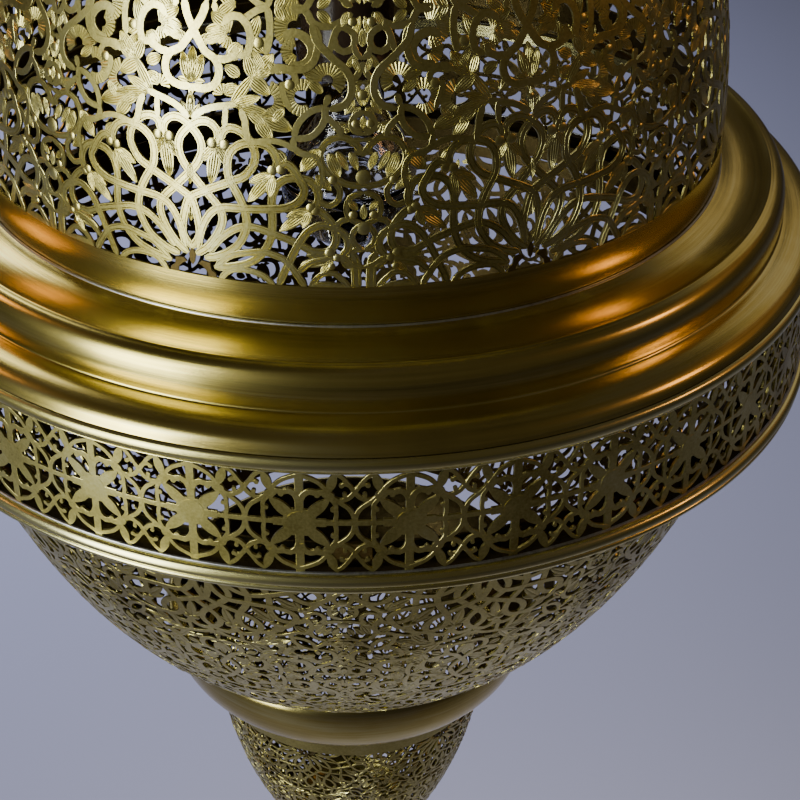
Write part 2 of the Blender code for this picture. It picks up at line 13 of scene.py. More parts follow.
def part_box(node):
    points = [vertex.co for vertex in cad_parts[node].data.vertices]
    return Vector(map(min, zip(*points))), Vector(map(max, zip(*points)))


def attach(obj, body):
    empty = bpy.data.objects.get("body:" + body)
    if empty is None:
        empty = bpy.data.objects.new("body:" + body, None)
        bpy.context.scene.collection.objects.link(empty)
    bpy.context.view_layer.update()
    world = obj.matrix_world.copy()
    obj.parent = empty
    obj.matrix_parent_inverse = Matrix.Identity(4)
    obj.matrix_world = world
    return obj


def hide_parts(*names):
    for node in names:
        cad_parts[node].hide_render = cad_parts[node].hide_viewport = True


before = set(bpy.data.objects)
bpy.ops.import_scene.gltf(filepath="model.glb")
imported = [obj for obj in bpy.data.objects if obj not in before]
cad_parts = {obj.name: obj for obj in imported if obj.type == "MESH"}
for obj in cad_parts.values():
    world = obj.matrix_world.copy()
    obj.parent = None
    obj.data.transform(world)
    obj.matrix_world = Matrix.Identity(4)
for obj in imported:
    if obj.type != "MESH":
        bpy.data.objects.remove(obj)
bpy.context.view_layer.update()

MM = 0.001
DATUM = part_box("ring_collar")[0].z
SMOOTH_ANGLE = math.radians(24)

# ---------------------------------------------------------------- motif of the pierced body
# Across u and up v from the foot of a fan, in millimetres; every entry is mirrored about the fan's axis, except
# entries that lie on or across the fan's axis or on the panel's edge, which are built once.

STRANDS = [
    (2.9, [(1.5, 9.8), (6.5, 14), (10.7, 20.7), (11.9, 25.7), (10.3, 29.8), (5.7, 34.8), (0, 41),
           (-2.9, 44.8), (-4.4, 49), (-3.6, 53.4), (0, 57.4), (4.2, 59.7), (7.8, 59.3), (10.2, 56.8),
           (10.4, 53.8), (9.0, 51.8)]),
    (2.9, [(0, 12), (-3, 17), (-3, 22), (-1.5, 28.5), (0, 31.5), (4.8, 34.4), (9, 36.5), (15.7, 39.6),
           (20.2, 42), (23.4, 46.5), (23.9, 50.5), (22.4, 54), (20.4, 56.5), (17.6, 58.2), (14.4, 58.5),
           (12.1, 56.8), (11.6, 53.8)]),
    (2.9, [(4.8, 9), (9.8, 10.3), (16.5, 14.8), (20.2, 21.5), (20.5, 27.3), (18.2, 34), (14.6, 40.5),
           (13.9, 45.5), (15, 50), (18.3, 53), (22.4, 54), (26.8, 54), (30.2, 51.8), (31.8, 48),
           (30.8, 45.2)]),
    (2.8, [(2.3, 12.3), (3.3, 17.3), (5.3, 23.2), (8.6, 27.8), (13.2, 29.6), (21.5, 30), (29.4, 30.7),
           (35.5, 31.8), (39.6, 34.6), (41.2, 38.6), (39.2, 42.6), (37.2, 46), (34.8, 47.6),
           (32.8, 46.4)]),
    (2.8, [(8.2, 5.7), (14.8, 6.9), (21.5, 9.4), (26.5, 14), (29.2, 19.8), (29.9, 25.7), (29.7, 31),
           (29.8, 35), (31.6, 39.6), (35, 42.2), (39.2, 42.6), (43.4, 41.6), (45.8, 38), (46, 34.5),
           (44.6, 32.2)]),
    (2.7, [(6.5, 11.5), (11.5, 18), (17.3, 22.3), (23.2, 23.2), (29.8, 21.5), (38, 18.6), (44, 15.5),
           (49.5, 15.8), (52, 19.5), (51.5, 24.5), (49, 28.5), (46.4, 30.8), (44.2, 31.2)]),
    (2.7, [(31.5, 1.5), (34, 7.3), (37, 14), (39.5, 19), (42.5, 23.2), (46.8, 25.6), (51.5, 24.5),
           (55.5, 21.5), (56.2, 17), (53.6, 13.4)]),
    (2.4, [(9, 6.5), (15, 11.5), (23, 13.6), (27.3, 14), (34, 11.5), (39, 4.8), (40.9, 1.2)]),
    (2.2, [(10, 1), (14, 5.2), (20, 6.2), (26, 4.6), (30, 1)]),
    (2.0, [(42.5, 1), (46.5, 6.2), (51.5, 6.8), (57, 1.2)]),
    (2.0, [(43.5, 2), (49, 2.6), (56.5, 1)]),
    (2.2, [(38.5, 7), (43, 11), (48, 12.4), (53.6, 13.4), (58, 10.6), (61.6, 9.4)]),
    (3.4, [(59.2, 0.5), (59.0, 6), (58.6, 11.4), (57.2, 15.4)]),
    (2.2, [(57.2, 15.4), (59.6, 16.6), (61.6, 16.2)]),
    (1.8, [(57.6, 60.4), (61.6, 60.2)]),
    (1.8, [(57.2, 56.4), (61.6, 56.6)]),
    (2.4, [(58.4, 52.6), (61.6, 52.2)]),
    (2.0, [(55.4, 68.8), (58.2, 72.4), (59.4, 75.4), (61.6, 76.4)]),
    (2.0, [(53.6, 13.4), (55.6, 10.4), (57.4, 9.6)]),
    (2.0, [(61.6, 16), (58.4, 18.5), (57.6, 22), (59.4, 25), (61.6, 26)]),
    (2.0, [(61.6, 26), (57.2, 28), (55.6, 32), (57, 36), (61.6, 38)]),
    (2.0, [(51.5, 24.5), (54, 27.4), (57.4, 28)]),
    (2.0, [(46, 34.5), (50, 33), (53, 35.4), (53.4, 39), (51, 42)]),
    (2.0, [(45.8, 38), (47.4, 43), (46.8, 48), (44, 51.5)]),
    (2.2, [(61.6, 40), (55, 41.2), (49, 45.2), (46.6, 50.8), (49, 55.8), (54.5, 57.6), (59, 55),
           (61.6, 51)]),
]
SCROLLS = [
    (2.3, [(0.5, 60.3), (4.8, 63.5), (8.6, 65), (13.6, 66.2), (17, 67)]),
    (2.0, [(13.2, 66.2), (13, 62), (12.6, 58.2)]),
    (2.4, [(18.6, 65.5), (20.2, 61.5), (20.6, 58), (21.8, 54)]),
    (2.2, [(0, 68), (0, 72)]),
    (2.7, [(0, 71.2), (4.5, 70.9), (8.4, 72.4), (10.2, 75.5), (10.1, 79), (8.2, 81.8), (5, 83.4),
           (2.8, 86.2), (0, 90.2), (-2.9, 95), (-4.6, 100)]),
    (2.6, [(8.2, 81.8), (12, 81.6), (15.6, 83.4), (16.4, 86.4)]),
    (2.6, [(11.4, 93.2), (13.4, 95.8), (17.2, 96.2), (20.4, 93.4), (21.6, 89.6), (21.0, 85.6),
           (19.5, 83.6)]),
    (2.2, [(4.4, 87.2), (8, 88), (12, 88)]),
    (2.4, [(8, 97), (7.4, 100)]),
    (2.4, [(18, 95), (24, 99), (28, 100)]),
    (2.4, [(27.5, 100), (28.6, 94), (28.3, 89), (27.2, 84.5)]),
    (2.4, [(21.6, 87.4), (24, 88.4), (28.3, 89)]),
    (2.4, [(22, 84), (19, 83.6), (16, 84)]),
    (2.0, [(22.4, 54.2), (29, 55.4), (34, 54.8), (38, 52.4)]),
    (2.3, [(44, 51), (40.4, 51.6), (37.6, 53.6), (37.4, 57.4)]),
    (2.2, [(37.4, 56.5), (38.8, 61.5), (42.4, 65.6), (46.8, 67.4), (50, 67)]),
    (2.2, [(37.4, 56.5), (43.2, 57.4), (47, 61), (48.4, 64.5), (48.2, 68.4)]),
    (2.4, [(29.2, 78.5), (31.8, 80.6), (36, 80.2), (41, 80.4), (44.2, 82.8), (45.6, 86.5), (46, 91),
           (44, 95)]),
    (2.4, [(43.6, 95.4), (45, 90.5), (48, 87), (52, 83.5), (55.6, 80.5), (57.6, 76.5), (57.4, 72),
           (55, 68.6), (50, 67)]),
    (3.0, [(33.2, 90.6), (37, 92.2), (41.4, 90.8), (43.8, 87.4), (43, 83.6), (39.6, 81.4), (35.8, 81.6)]),
    (2.2, [(30, 79), (34, 79.8), (37.2, 78.8), (38, 76.2), (36, 74.4)]),
    (2.2, [(36.2, 66.5), (34.4, 70), (33.2, 74), (34.4, 75.6)]),
    (2.2, [(48.2, 68.2), (49.4, 70.6), (49.2, 72)]),
    (2.4, [(36.5, 101), (41.4, 99.4), (44, 95.6), (49, 94.6), (54, 96), (58, 99)]),
    (2.2, [(50, 86), (52.4, 93.4), (55.2, 94.4), (58.6, 92), (58.4, 88), (55, 86.4), (52, 88.4),
           (51.9, 91.4)]),
    (2.0, [(61.6, 58.6), (58.4, 60), (57.6, 63), (59.4, 65.4), (61.6, 66)]),
    (2.0, [(54, 57.6), (52.6, 61), (50.2, 63.4), (48.4, 64.6)]),
    (2.0, [(55, 68.6), (57.6, 67), (61.6, 66.2)]),
    (2.0, [(57.6, 76.5), (60, 79), (61.6, 83)]),
    (2.0, [(61.6, 84), (59.4, 86), (58.6, 89)]),
]
# base point, tip, width and number of flutes
LEAVES = [
    (14.0, 92.6, 6.4, 96.6, 5.4, 5), (12.8, 90.8, 5.0, 88.0, 5.2, 5), (17.6, 87.6, 13.2, 81.8, 4.4, 4),
    (2.6, 84.8, 5.8, 89.6, 3.2, 3), (26.6, 79.8, 22.4, 85.6, 3.2, 4), (33.2, 78.4, 28.0, 81.8, 3.0, 3),
    (9.8, 51.6, 7.8, 37.6, 4.8, 4), (9.4, 51.4, 4.2, 45.6, 3.6, 4), (10.2, 51.4, 14.6, 44.6, 3.6, 4),
    (30.4, 44.0, 21.2, 32.6, 4.6, 4), (29.6, 43.6, 21.6, 39.8, 3.6, 4), (30.4, 42.6, 28.8, 35.2, 3.6, 4),
    (43.6, 31.6, 32.2, 22.6, 4.4, 4), (42.6, 31.4, 34.6, 28.2, 3.4, 4), (43.0, 30.4, 40.4, 24.4, 3.4, 4),
    (51.6, 13.2, 39.4, 10.0, 4.4, 4), (50.6, 13.6, 41.4, 14.0, 3.2, 3), (50.8, 12.4, 46.4, 6.8, 3.4, 4),
    (49.8, 52.0, 53.4, 43.4, 4.6, 5), (57.0, 52.4, 59.6, 46.0, 3.2, 4), (52.4, 52.6, 56.4, 45.8, 3.0, 3),
    (56.6, 34.6, 59.6, 31.4, 2.8, 3), (58.6, 70.4, 55.2, 65.4, 3.2, 4), (59.4, 75.4, 61.2, 68.2, 2.8, 3),
    (58.6, 91.6, 60.8, 98.0, 3.0, 4), (56.8, 99.4, 54.2, 94.6, 3.2, 4), (58.4, 84.2, 60.6, 79.4, 2.6, 3),
    (0, 31.8, 0, 22.6, 3.6, 3), (0, 44, 0, 36.5, 3.0, 3), (0, 60.2, 0, 69.6, 3.0, 3),
    (0.4, 60.2, 3.6, 65.4, 2.4, 2), (0, 72.2, 0, 84.8, 4.6, 5), (0.8, 72.8, 3.9, 82.4, 4.0, 4),
    (1.4, 73, 5.2, 73.4, 1.8, 1), (15.4, 67, 23, 77.4, 3.8, 3), (22.9, 76.6, 20.1, 84, 4.4, 4),
    (23, 76.6, 30, 85, 5.4, 5), (23.2, 76.8, 29.8, 79.6, 3.4, 3), (21.4, 76.6, 29, 71.2, 5.4, 5),
    (18, 76.6, 12.4, 79.6, 4.2, 4), (15.6, 66.4, 25.8, 70.4, 3.8, 4), (17, 66.4, 30.4, 63.8, 4.4, 5),
    (25, 64.4, 37, 59.6, 6.2, 6), (24.4, 62.6, 29.8, 55.6, 5.0, 5), (21.5, 64.8, 27.5, 60.5, 4.0, 4),
    (12.2, 72, 17.6, 73.2, 2.8, 3), (4.2, 87, 10.8, 90, 4.2, 4), (13.4, 81.8, 18.8, 86.8, 4.4, 4),
    (21.2, 88.6, 24.4, 97, 4.4, 4), (21.8, 88.6, 26.8, 85, 3.4, 3), (9, 96, 15.6, 101, 4.0, 4),
    (47.2, 77.4, 40.2, 79.6, 3.8, 4), (47.6, 72.6, 41.8, 77.2, 3.6, 4), (46.6, 53.2, 39.8, 45.2, 5.4, 5),
    (61.6, 28, 61.6, 33.4, 3.0, 3), (61.6, 60.6, 61.6, 65, 2.6, 3), (60.6, 68, 57.8, 64.6, 2.6, 3),
    (61.6, 88, 61.6, 94, 3.2, 3), (60.4, 86, 55.4, 80.6, 3.0, 3), (45.6, 99.6, 50.4, 95.6, 3.6, 4),
    (52, 61.8, 57, 60.6, 3.4, 3), (45, 44, 50.6, 38.6, 3.6, 4), (30.6, 100.6, 33.4, 96, 3.4, 3),
    (34.5, 47.8, 30.8, 52.4, 4.0, 4), (34, 66.6, 30, 62, 3.4, 3), (10.8, 92.2, 4.6, 90.4, 3.4, 3),
]
# centre, inner and outer radius, first and last angle, number of flutes
SHELLS = [
    (12.3, 69.6, 0.6, 3.9, -10, 190, 9), (27.4, 69.2, 2.9, 7.0, -80, 75, 12),
    (13.6, 90, 0.8, 4.7, 70, 300, 14), (37.3, 93.9, 2.3, 7.3, 70, 270, 17),
    (38.4, 86.2, 1.5, 5.6, 100, 268, 11), (49.2, 76.8, 1.9, 6.1, -45, 190, 17),
    (40.4, 70.8, 2.7, 6.5, 55, 305, 18), (54.5, 63.4, 1.6, 4.6, 190, 350, 9),
]
DOTS = [
    (8.2, 52.3, 1.9), (12.7, 52.2, 1.9), (30.0, 44.9, 1.8), (32.9, 45.4, 1.7), (43.4, 32.0, 1.7),
    (44.9, 31.0, 1.6), (52.4, 13.2, 1.5), (36.0, 75.0, 1.8), (24.6, 88.2, 1.9), (51.0, 42.4, 1.5),
    (0, 66, 1.2), (49.8, 15.2, 1.8), (50.4, 9.8, 1.3), (61.6, 24.6, 2.5), (61.6, 43.4, 2.7),
    (58.0, 29.6, 1.5), (59.0, 62.2, 1.5), (61.6, 72.0, 1.8), (58.2, 96.2, 1.5),
]
# the fan's foot: small solid fields between the piercings
FIELDS = [
    [(6.0, 0.8), (5.6, 3.4), (3.8, 5.4), (2.2, 6.2), (3.6, 7.6), (6.6, 7.2), (7.0, 4.4), (8.6, 3.0),
     (9.0, 0.8)],
    [(-0.8, 6.4), (-1.3, 9.4), (0, 12.8), (1.3, 9.4), (0.8, 6.4)],
    [(8.8, 6.4), (9.0, 8.6), (11.4, 10.0), (12.4, 8.4), (10.4, 6.2)],
    [(0, 5.2), (-0.7, 6.4), (0.7, 6.4)],
]
HALF_UNIT = 61.6
FLUTE_DEPTH = 0.22
SHELL_FLUTE_DEPTH = 0.24
SHEET_THICK = 0.9
RAIL_THICK = 1.1
STRAND_FULLNESS = 1.06
BOWL_FULLNESS = 1.22

# ---------------------------------------------------------------- motif of the frieze
# One quarter of a rosette, from its centre, in millimetres; mirrored four ways.
FRIEZE_BANDS = [
    (2.3, [(0.4, 9.5), (1.5, 12.2), (3.6, 13.6), (5.8, 13.1), (8.2, 13.4), (9.8, 13.0)]),
    (1.6, [(12.6, 0.4), (13.1, 3.2), (12.9, 5.6), (13.0, 7.6), (12.0, 9.6), (10.6, 11.2)]),
    (1.7, [(19.55, 0), (19.1, 3.4), (17.5, 6.4), (15.0, 8.5), (12.6, 10.4), (10.6, 12.6)]),
    (1.8, [(10.6, 12.0), (13.6, 9.9), (16.2, 10.3), (18.2, 11.6), (19.55, 13.6)]),
    (1.6, [(-0.4, 21.0), (4.7, 18.9), (7.2, 17.3), (9.2, 15.0), (10.8, 12.4)]),
    (1.5, [(12.6, 21.6), (15.2, 20.0), (17.2, 17.4), (18.8, 14.8), (19.7, 13.2)]),
    (1.5, [(19.4, 14.6), (17.6, 16.5), (15.8, 17.0), (14.9, 16.2)]),
    (1.4, [(17.4, 11.0), (16.2, 11.4), (16.1, 12.6)]),
]
FRIEZE_LEAVES = [(0.8, 0.8, 10.9, 10.6, 4.5), (10.1, 13.0, 12.9, 21.9, 3.5)]
FRIEZE_BARS = [
    (3.1, [(0, -22.2), (0, 22.2)]), (2.0, [(-19.64, 0), (19.64, 0)]), (3.2, [(-9.5, 0), (9.5, 0)]),
]
FRIEZE_HUB = 4.9
FRIEZE_DOTS = [
    (6.4, 12.1, 1.0), (11.9, 5.8, 0.9), (10.6, 11.8, 1.9), (8.9, 12.1, 0.8), (16.1, 12.6, 0.8),
    (15.0, 16.4, 0.9), (1.6, 12.6, 1.2), (2.2, 4.2, 1.6), (4.3, 1.9, 1.6),
]
FRIEZE_HALF_W = 19.64
FRIEZE_UNITS = 32

GROOVED = [
    (-1, -1.0), (-1, -0.05), (-0.94, 0.0), (-0.64, 0.0), (-0.54, -0.3), (-0.44, 0.0), (0.44, 0.0),
    (0.54, -0.3), (0.64, 0.0), (0.94, 0.0), (1, -0.05), (1, -1.0),
]
PLAIN = [(-1, -1.0), (-1, -0.05), (-0.93, 0.0), (0.93, 0.0), (1, -0.05), (1, -1.0)]


# ---------------------------------------------------------------- planar shapes: (u, v, height) in mm

def smooth_line(points, step):
    """Points along a Catmull-Rom curve through the given ones, about step apart."""
    p = np.array(points, float)
    p = np.vstack([2 * p[0] - p[1], p, 2 * p[-1] - p[-2]])
    out = [p[1]]
    for i in range(1, len(p) - 2):
        a, b, c, d = p[i - 1], p[i], p[i + 1], p[i + 2]
        n = max(2, int(np.linalg.norm(c - b) / step + 0.5))
        for t in np.arange(1, n + 1) / n:
            out.append(0.5 * (2 * b + (c - a) * t + (2 * a - 5 * b + 4 * c - d) * t * t
                              + (3 * b - a - 3 * c + d) * t ** 3))
    return np.array(out)


class Sheet:
    """Collects closed pieces of pierced sheet in the plane of a motif, then lays them on a turned surface."""

    def __init__(self, surface, place):
        self.surface = surface
        self.place = place
        self.points = []
        self.faces = []
        self.count = 0

    def put(self, grid, closed_across, caps):
        """grid is rows x columns x (u, v, h); rows run along the piece."""
        rows, columns = grid.shape[:2]
        index = self.count + np.arange(rows * columns).reshape(rows, columns)
        nxt = np.roll(index, -1, axis=1) if closed_across else index[:, 1:]
        here = index if closed_across else index[:, :-1]
        quads = np.stack([here[:-1], nxt[:-1], nxt[1:], here[1:]], -1).reshape(-1, 4)
        self.faces.extend(quads.tolist())
        if caps:
            self.faces.append(index[0, ::-1].tolist())
            self.faces.append(index[-1].tolist())
        self.points.append(self.surface(grid.reshape(-1, 3)))
        self.count += rows * columns

    def slab(self, top, low):
        """A closed piece from a grid of top points, with a flat underside at height low."""
        under = top.copy()
        under[..., 2] = low
        rows, columns = top.shape[:2]
        start = self.count
        index = start + np.arange(rows * columns).reshape(rows, columns)
        base = index + rows * columns
        for block, flip in ((index, False), (base, True)):
            quads = np.stack([block[:-1, :-1], block[:-1, 1:], block[1:, 1:], block[1:, :-1]], -1)
            quads = quads.reshape(-1, 4)
            self.faces.extend((quads[:, ::-1] if flip else quads).tolist())
        loop = np.concatenate([index[0, :-1], index[:-1, -1], index[-1, :0:-1], index[:0:-1, 0]])
        below = loop + rows * columns
        walls = np.stack([loop, below, np.roll(below, -1), np.roll(loop, -1)], -1)
        self.faces.extend(walls.tolist())
        self.points.append(self.surface(np.concatenate([top.reshape(-1, 3), under.reshape(-1, 3)])))
        self.count += 2 * rows * columns

    def stretch(self, v):
        return self.place.stretch(v)

    def band(self, points, width, profile, lift, thick, step, round_ends=True):
        line = smooth_line([self.place(p) for p in points], step)
        k = self.stretch(line[:, 1])
        along = np.gradient(line, axis=0)
        along[:, 0] *= k
        along /= np.linalg.norm(along, axis=1)[:, None] + 1e-9
        across = np.stack([-along[:, 1] / k, along[:, 0]], -1)
        wide = width * self.place.fullness * self.place.scale * self.place.slim(line[:, 1])
        if round_ends:
            wide[0] *= 0.45
            wide[-1] *= 0.45
        section = np.array(profile)
        grid = np.empty((len(line), len(section), 3))
        offset = section[None, :, 0] * wide[:, None] / 2
        grid[..., :2] = line[:, None, :] + across[:, None, :] * offset[..., None]
        grid[..., 2] = lift + np.where(section[:, 1] <= -1.0, -thick - lift, section[:, 1])[None, :]
        self.put(grid[:, ::-1], True, True)

    def leaf(self, x0, y0, x1, y1, width, flutes, lift, thick, blunt=0.62):
        a, b = np.array(self.place((x0, y0))), np.array(self.place((x1, y1)))
        k = float(self.stretch(np.array([(a[1] + b[1]) / 2]))[0])
        along = (b - a) * [k, 1]
        length = np.linalg.norm(along)
        along /= length
        side = np.array([-along[1] / k, along[0]])
        columns = 4 * flutes + 1
        rows = max(7, int(length / 0.9))
        t = np.linspace(0.02, 0.99, rows)[:, None]
        q = np.linspace(-1, 1, columns)[None, :]
        half = width * self.place.scale / 2 * np.sin(np.pi * t ** 0.85) ** blunt
        half = np.maximum(half, 0.12)
        cut = np.abs(np.cos(np.pi * flutes * (q + 1) / 2)) ** 5 * (np.abs(q) < 0.99)
        ridge = -FLUTE_DEPTH * cut * np.minimum(1, half)
        grid = np.empty((rows, columns, 3))
        grid[..., :2] = a + (b - a) * t[..., None] + side * (half * q)[..., None]
        grid[..., 2] = lift + ridge - 0.06 * q ** 6
        self.slab(grid[:, ::-1], -thick)

    def shell(self, cx, cy, r0, r1, a0, a1, flutes, lift, thick):
        columns = 4 * flutes + 1
        radii = np.linspace(0, 1, 5)[:, None]
        angle = np.radians(np.linspace(a0, a1, columns))[None, :]
        wave = np.abs(np.sin(np.pi * flutes * np.linspace(0, 1, columns)))[None, :]
        radius = r0 + (r1 - r0) * radii * (1 - 0.07 * radii + 0.07 * radii * wave)
        centre = np.array(self.place((cx, cy)))
        k = float(self.stretch(np.array([centre[1]]))[0])
        scale = self.place.scale
        grid = np.empty((5, columns, 3))
        grid[..., 0] = centre[0] + radius * scale * np.cos(angle) / k
        grid[..., 1] = centre[1] + radius * scale * np.sin(angle) * self.place.turn
        grid[..., 2] = lift - SHELL_FLUTE_DEPTH * (1 - wave) ** 3 * (0.4 + 0.6 * radii)
        if self.place.turn > 0:
            grid = grid[:, ::-1]
        self.slab(grid, -thick)

    def dot(self, x, y, radius, lift, thick):
        turns = np.linspace(0, 2 * np.pi, 15)[None, :-1]
        levels = np.array([(1.0, -thick), (1.0, lift - 0.1), (0.82, lift + 0.06), (0.4, lift + 0.2)])
        centre = np.array(self.place((x, y)))
        k = float(self.stretch(np.array([centre[1]]))[0])
        size = radius * self.place.scale
        grid = np.empty((4, 14, 3))
        grid[..., 0] = centre[0] + size * levels[:, :1] * np.cos(turns) / k
        grid[..., 1] = centre[1] + size * levels[:, :1] * np.sin(turns)
        grid[..., 2] = levels[:, 1:]
        self.put(grid, True, True)

    def field(self, outline, lift, thick):
        points = np.array([self.place(p) for p in outline])
        grid = np.empty((2, len(points), 3))
        grid[..., :2] = points[None]
        grid[0, :, 2] = -thick
        grid[1, :, 2] = lift
        self.put(grid, True, True)

    def arrays(self):
        return np.concatenate(self.points), self.faces


class Place:
    """Where a copy of the motif lies: v of the sheet is start + sign * scale * v of the motif."""

    def __init__(self, start, sign, scale, stretch, across=1.0, slim=False, fullness=1.0):
        self.fullness = fullness
        self.start, self.turn, self.scale, self.across = start, sign, scale, across
        self.stretch = stretch
        self.slimming = slim

    def slim(self, v):
        return np.clip(self.stretch(v), 0.55, 1.0) ** 0.7 if self.slimming else np.ones_like(v)

    def __call__(self, point):
        return (point[0] * self.across, self.start + self.turn * self.scale * point[1])


class Surface:
    """A turned surface from its meridian (radius, height) in metres; u is an angle times the unit's width."""

    def __init__(self, meridian, unit_angle, unit_width):
        self.m = np.array(meridian)
        steps = np.linalg.norm(np.diff(self.m, axis=0), axis=1)
        self.s = np.concatenate([[0], np.cumsum(steps)]) / MM
        self.length = self.s[-1]
        tangent = np.gradient(self.m, axis=0)
        tangent /= np.linalg.norm(tangent, axis=1)[:, None]
        normal = np.stack([tangent[:, 1], -tangent[:, 0]], -1)
        if normal[0, 0] < 0:
            normal = -normal
        self.n = normal
        self.per_u = unit_angle / unit_width

    def stretch(self, v):
        return np.interp(v, self.s, self.m[:, 0]) / MM * self.per_u

    def __call__(self, p):
        s = np.clip(p[:, 1], 0, self.length)
        over = p[:, 1] - s
        h = p[:, 2] * MM
        r = np.interp(s, self.s, self.m[:, 0]) + np.interp(s, self.s, self.n[:, 0]) * h
        z = np.interp(s, self.s, self.m[:, 1]) + np.interp(s, self.s, self.n[:, 1]) * h
        last = self.m[-1] - self.m[-2]
        last = last / np.linalg.norm(last)
        first = self.m[1] - self.m[0]
        first = first / np.linalg.norm(first)
        way = np.where((over > 0)[:, None], last, first) * (over * MM)[:, None]
        r, z = r + way[:, 0], z + way[:, 1]
        a = p[:, 0] * self.per_u
        return np.stack([r * np.sin(a), -r * np.cos(a), z + DATUM], -1)


def new_object(name, points, faces, look, facing=None):
    """A mesh object. Faces that look against facing (outward, up) or lie within its radius get painted shade: a
    nearly black copy of the brass.
    """
    mesh = bpy.data.meshes.new(name)
    mesh.from_pydata(points.tolist(), [], faces)
    mesh.validate()
    mesh.materials.append(look)
    if facing:
        mesh.materials.append(PAINTED_SHADE_BRASS)
        count = len(mesh.polygons)
        centres, normals = np.empty(count * 3), np.empty(count * 3)
        mesh.polygons.foreach_get("center", centres)
        mesh.polygons.foreach_get("normal", normals)
        centres, normals = centres.reshape(-1, 3)[:, :2], normals.reshape(-1, 3)
        radii = np.linalg.norm(centres, axis=1) + 1e-9
        outward = (centres * normals[:, :2]).sum(1) / radii
        # Faces that look inward or lie within the radius get the painted-shade brass.
        painted_shade_faces = (outward * facing[0] + normals[:, 2] * facing[1] < -0.25) | (radii < facing[2])
        mesh.polygons.foreach_set("material_index", painted_shade_faces.astype(np.int32))
    mesh.shade_smooth()
    mesh.set_sharp_from_angle(angle=SMOOTH_ANGLE)
    obj = bpy.data.objects.new(name, mesh)
    bpy.context.scene.collection.objects.link(obj)
    return obj


def mirrored(points, faces):
    """The sheet and its mirror image about the fan's axis, as one set."""
    other = points * [-1, 1, 1]
    n = len(points)
    flipped = [[i + n for i in reversed(f)] for f in faces]
    return np.concatenate([points, other]), faces + flipped


# ---------------------------------------------------------------- materials

STREAK_RELIEF = 0.0004
GRAIN_RELIEF = 0.0003

def node_material(name, base, rough, metallic=1.0, **sockets):
    made = bpy.data.materials.new(name)
    made.use_nodes = True
    shader = made.node_tree.nodes["Principled BSDF"]
    shader.inputs["Metallic"].default_value = metallic
    shader.inputs["Base Color"].default_value = (*base, 1)
    shader.inputs["Roughness"].default_value = rough
    for key, value in sockets.items():
        shader.inputs[key].default_value = value
    made.diffuse_color = (*base, 1)
    return made, made.node_tree, shader


def link(tree, a, b):
    tree.links.new(a, b)


def math_node(tree, operation, a, b=None):
    node = tree.nodes.new("ShaderNodeMath")
    node.operation = operation
    for socket, value in zip(node.inputs, (a, b)):
        if value is None:
            continue
        if isinstance(value, (int, float)):
            socket.default_value = value
        else:
            link(tree, value, socket)
    return node.outputs[0]


def turned_coordinates(tree, across, around, height):
    """Noise coordinates that run round the axis: long along the circumference, fine across it."""
    coordinates = tree.nodes.new("ShaderNodeTexCoord").outputs["Object"]
    split = tree.nodes.new("ShaderNodeSeparateXYZ")
    link(tree, coordinates, split.inputs[0])
    x, y, z = split.outputs
    radius = math_node(tree, "SQRT", math_node(tree, "ADD", math_node(tree, "MULTIPLY", x, x),
                                               math_node(tree, "MULTIPLY", y, y)))
    angle = math_node(tree, "ARCTAN2", y, x)
    join = tree.nodes.new("ShaderNodeCombineXYZ")
    link(tree, math_node(tree, "MULTIPLY", radius, across), join.inputs[0])
    link(tree, math_node(tree, "MULTIPLY", angle, around), join.inputs[1])
    link(tree, math_node(tree, "MULTIPLY", z, height), join.inputs[2])
    return join.outputs[0], coordinates


def noise(tree, vector, scale, detail=3.0, rough=0.55):
    node = tree.nodes.new("ShaderNodeTexNoise")
    node.inputs["Scale"].default_value = scale
    node.inputs["Detail"].default_value = detail
    node.inputs["Roughness"].default_value = rough
    link(tree, vector, node.inputs["Vector"])
    return node.outputs["Fac"]


def ramp(tree, fac, stops):
    node = tree.nodes.new("ShaderNodeValToRGB")
    while len(node.color_ramp.elements) < len(stops):
        node.color_ramp.elements.new(0.5)
    for element, (at, colour) in zip(node.color_ramp.elements, stops):
        element.position = at
        element.color = (*colour, 1) if len(colour) == 3 else colour
    link(tree, fac, node.inputs[0])
    return node.outputs[0]


def rough_range(tree, fac, low, high):
    node = tree.nodes.new("ShaderNodeMapRange")
    node.inputs["To Min"].default_value = low
    node.inputs["To Max"].default_value = high
    link(tree, fac, node.inputs[0])
    return node.outputs[0]


def bump(tree, shader, height, strength, distance):
    node = tree.nodes.new("ShaderNodeBump")
    node.inputs["Strength"].default_value = strength
    node.inputs["Distance"].default_value = distance
    link(tree, height, node.inputs["Height"])
    link(tree, node.outputs[0], shader.inputs["Normal"])


def spun_brass(name, dark, mid, light, rough_low, rough_high, streak=1.0):
    """Brass turned on a lathe: fine streaks round it, cloudy tarnish, a few brighter rubbed places."""
    made, tree, shader = node_material(name, mid, rough_low)
    around, plain = turned_coordinates(tree, 900, 2.2, 900)
    fine = noise(tree, around, 1.0, 4.0, 0.7)
    wide_vector, _ = turned_coordinates(tree, 160, 1.1, 160)
    wide = noise(tree, wide_vector, 1.0, 2.0)
    cloud = noise(tree, plain, 14.0, 4.0, 0.6)
    mixed = math_node(tree, "ADD", math_node(tree, "MULTIPLY", fine, 0.35 * streak),
                      math_node(tree, "ADD", math_node(tree, "MULTIPLY", wide, 0.30),
                                math_node(tree, "MULTIPLY", cloud, 0.40)))
    link(tree, ramp(tree, mixed, [(0.36, dark), (0.52, mid), (0.70, light)]), shader.inputs["Base Color"])
    link(tree, rough_range(tree, mixed, rough_high, rough_low), shader.inputs["Roughness"])
    height = math_node(tree, "ADD", fine, math_node(tree, "MULTIPLY", wide, 0.6))
    bump(tree, shader, height, 0.10 * streak, STREAK_RELIEF)
    return made


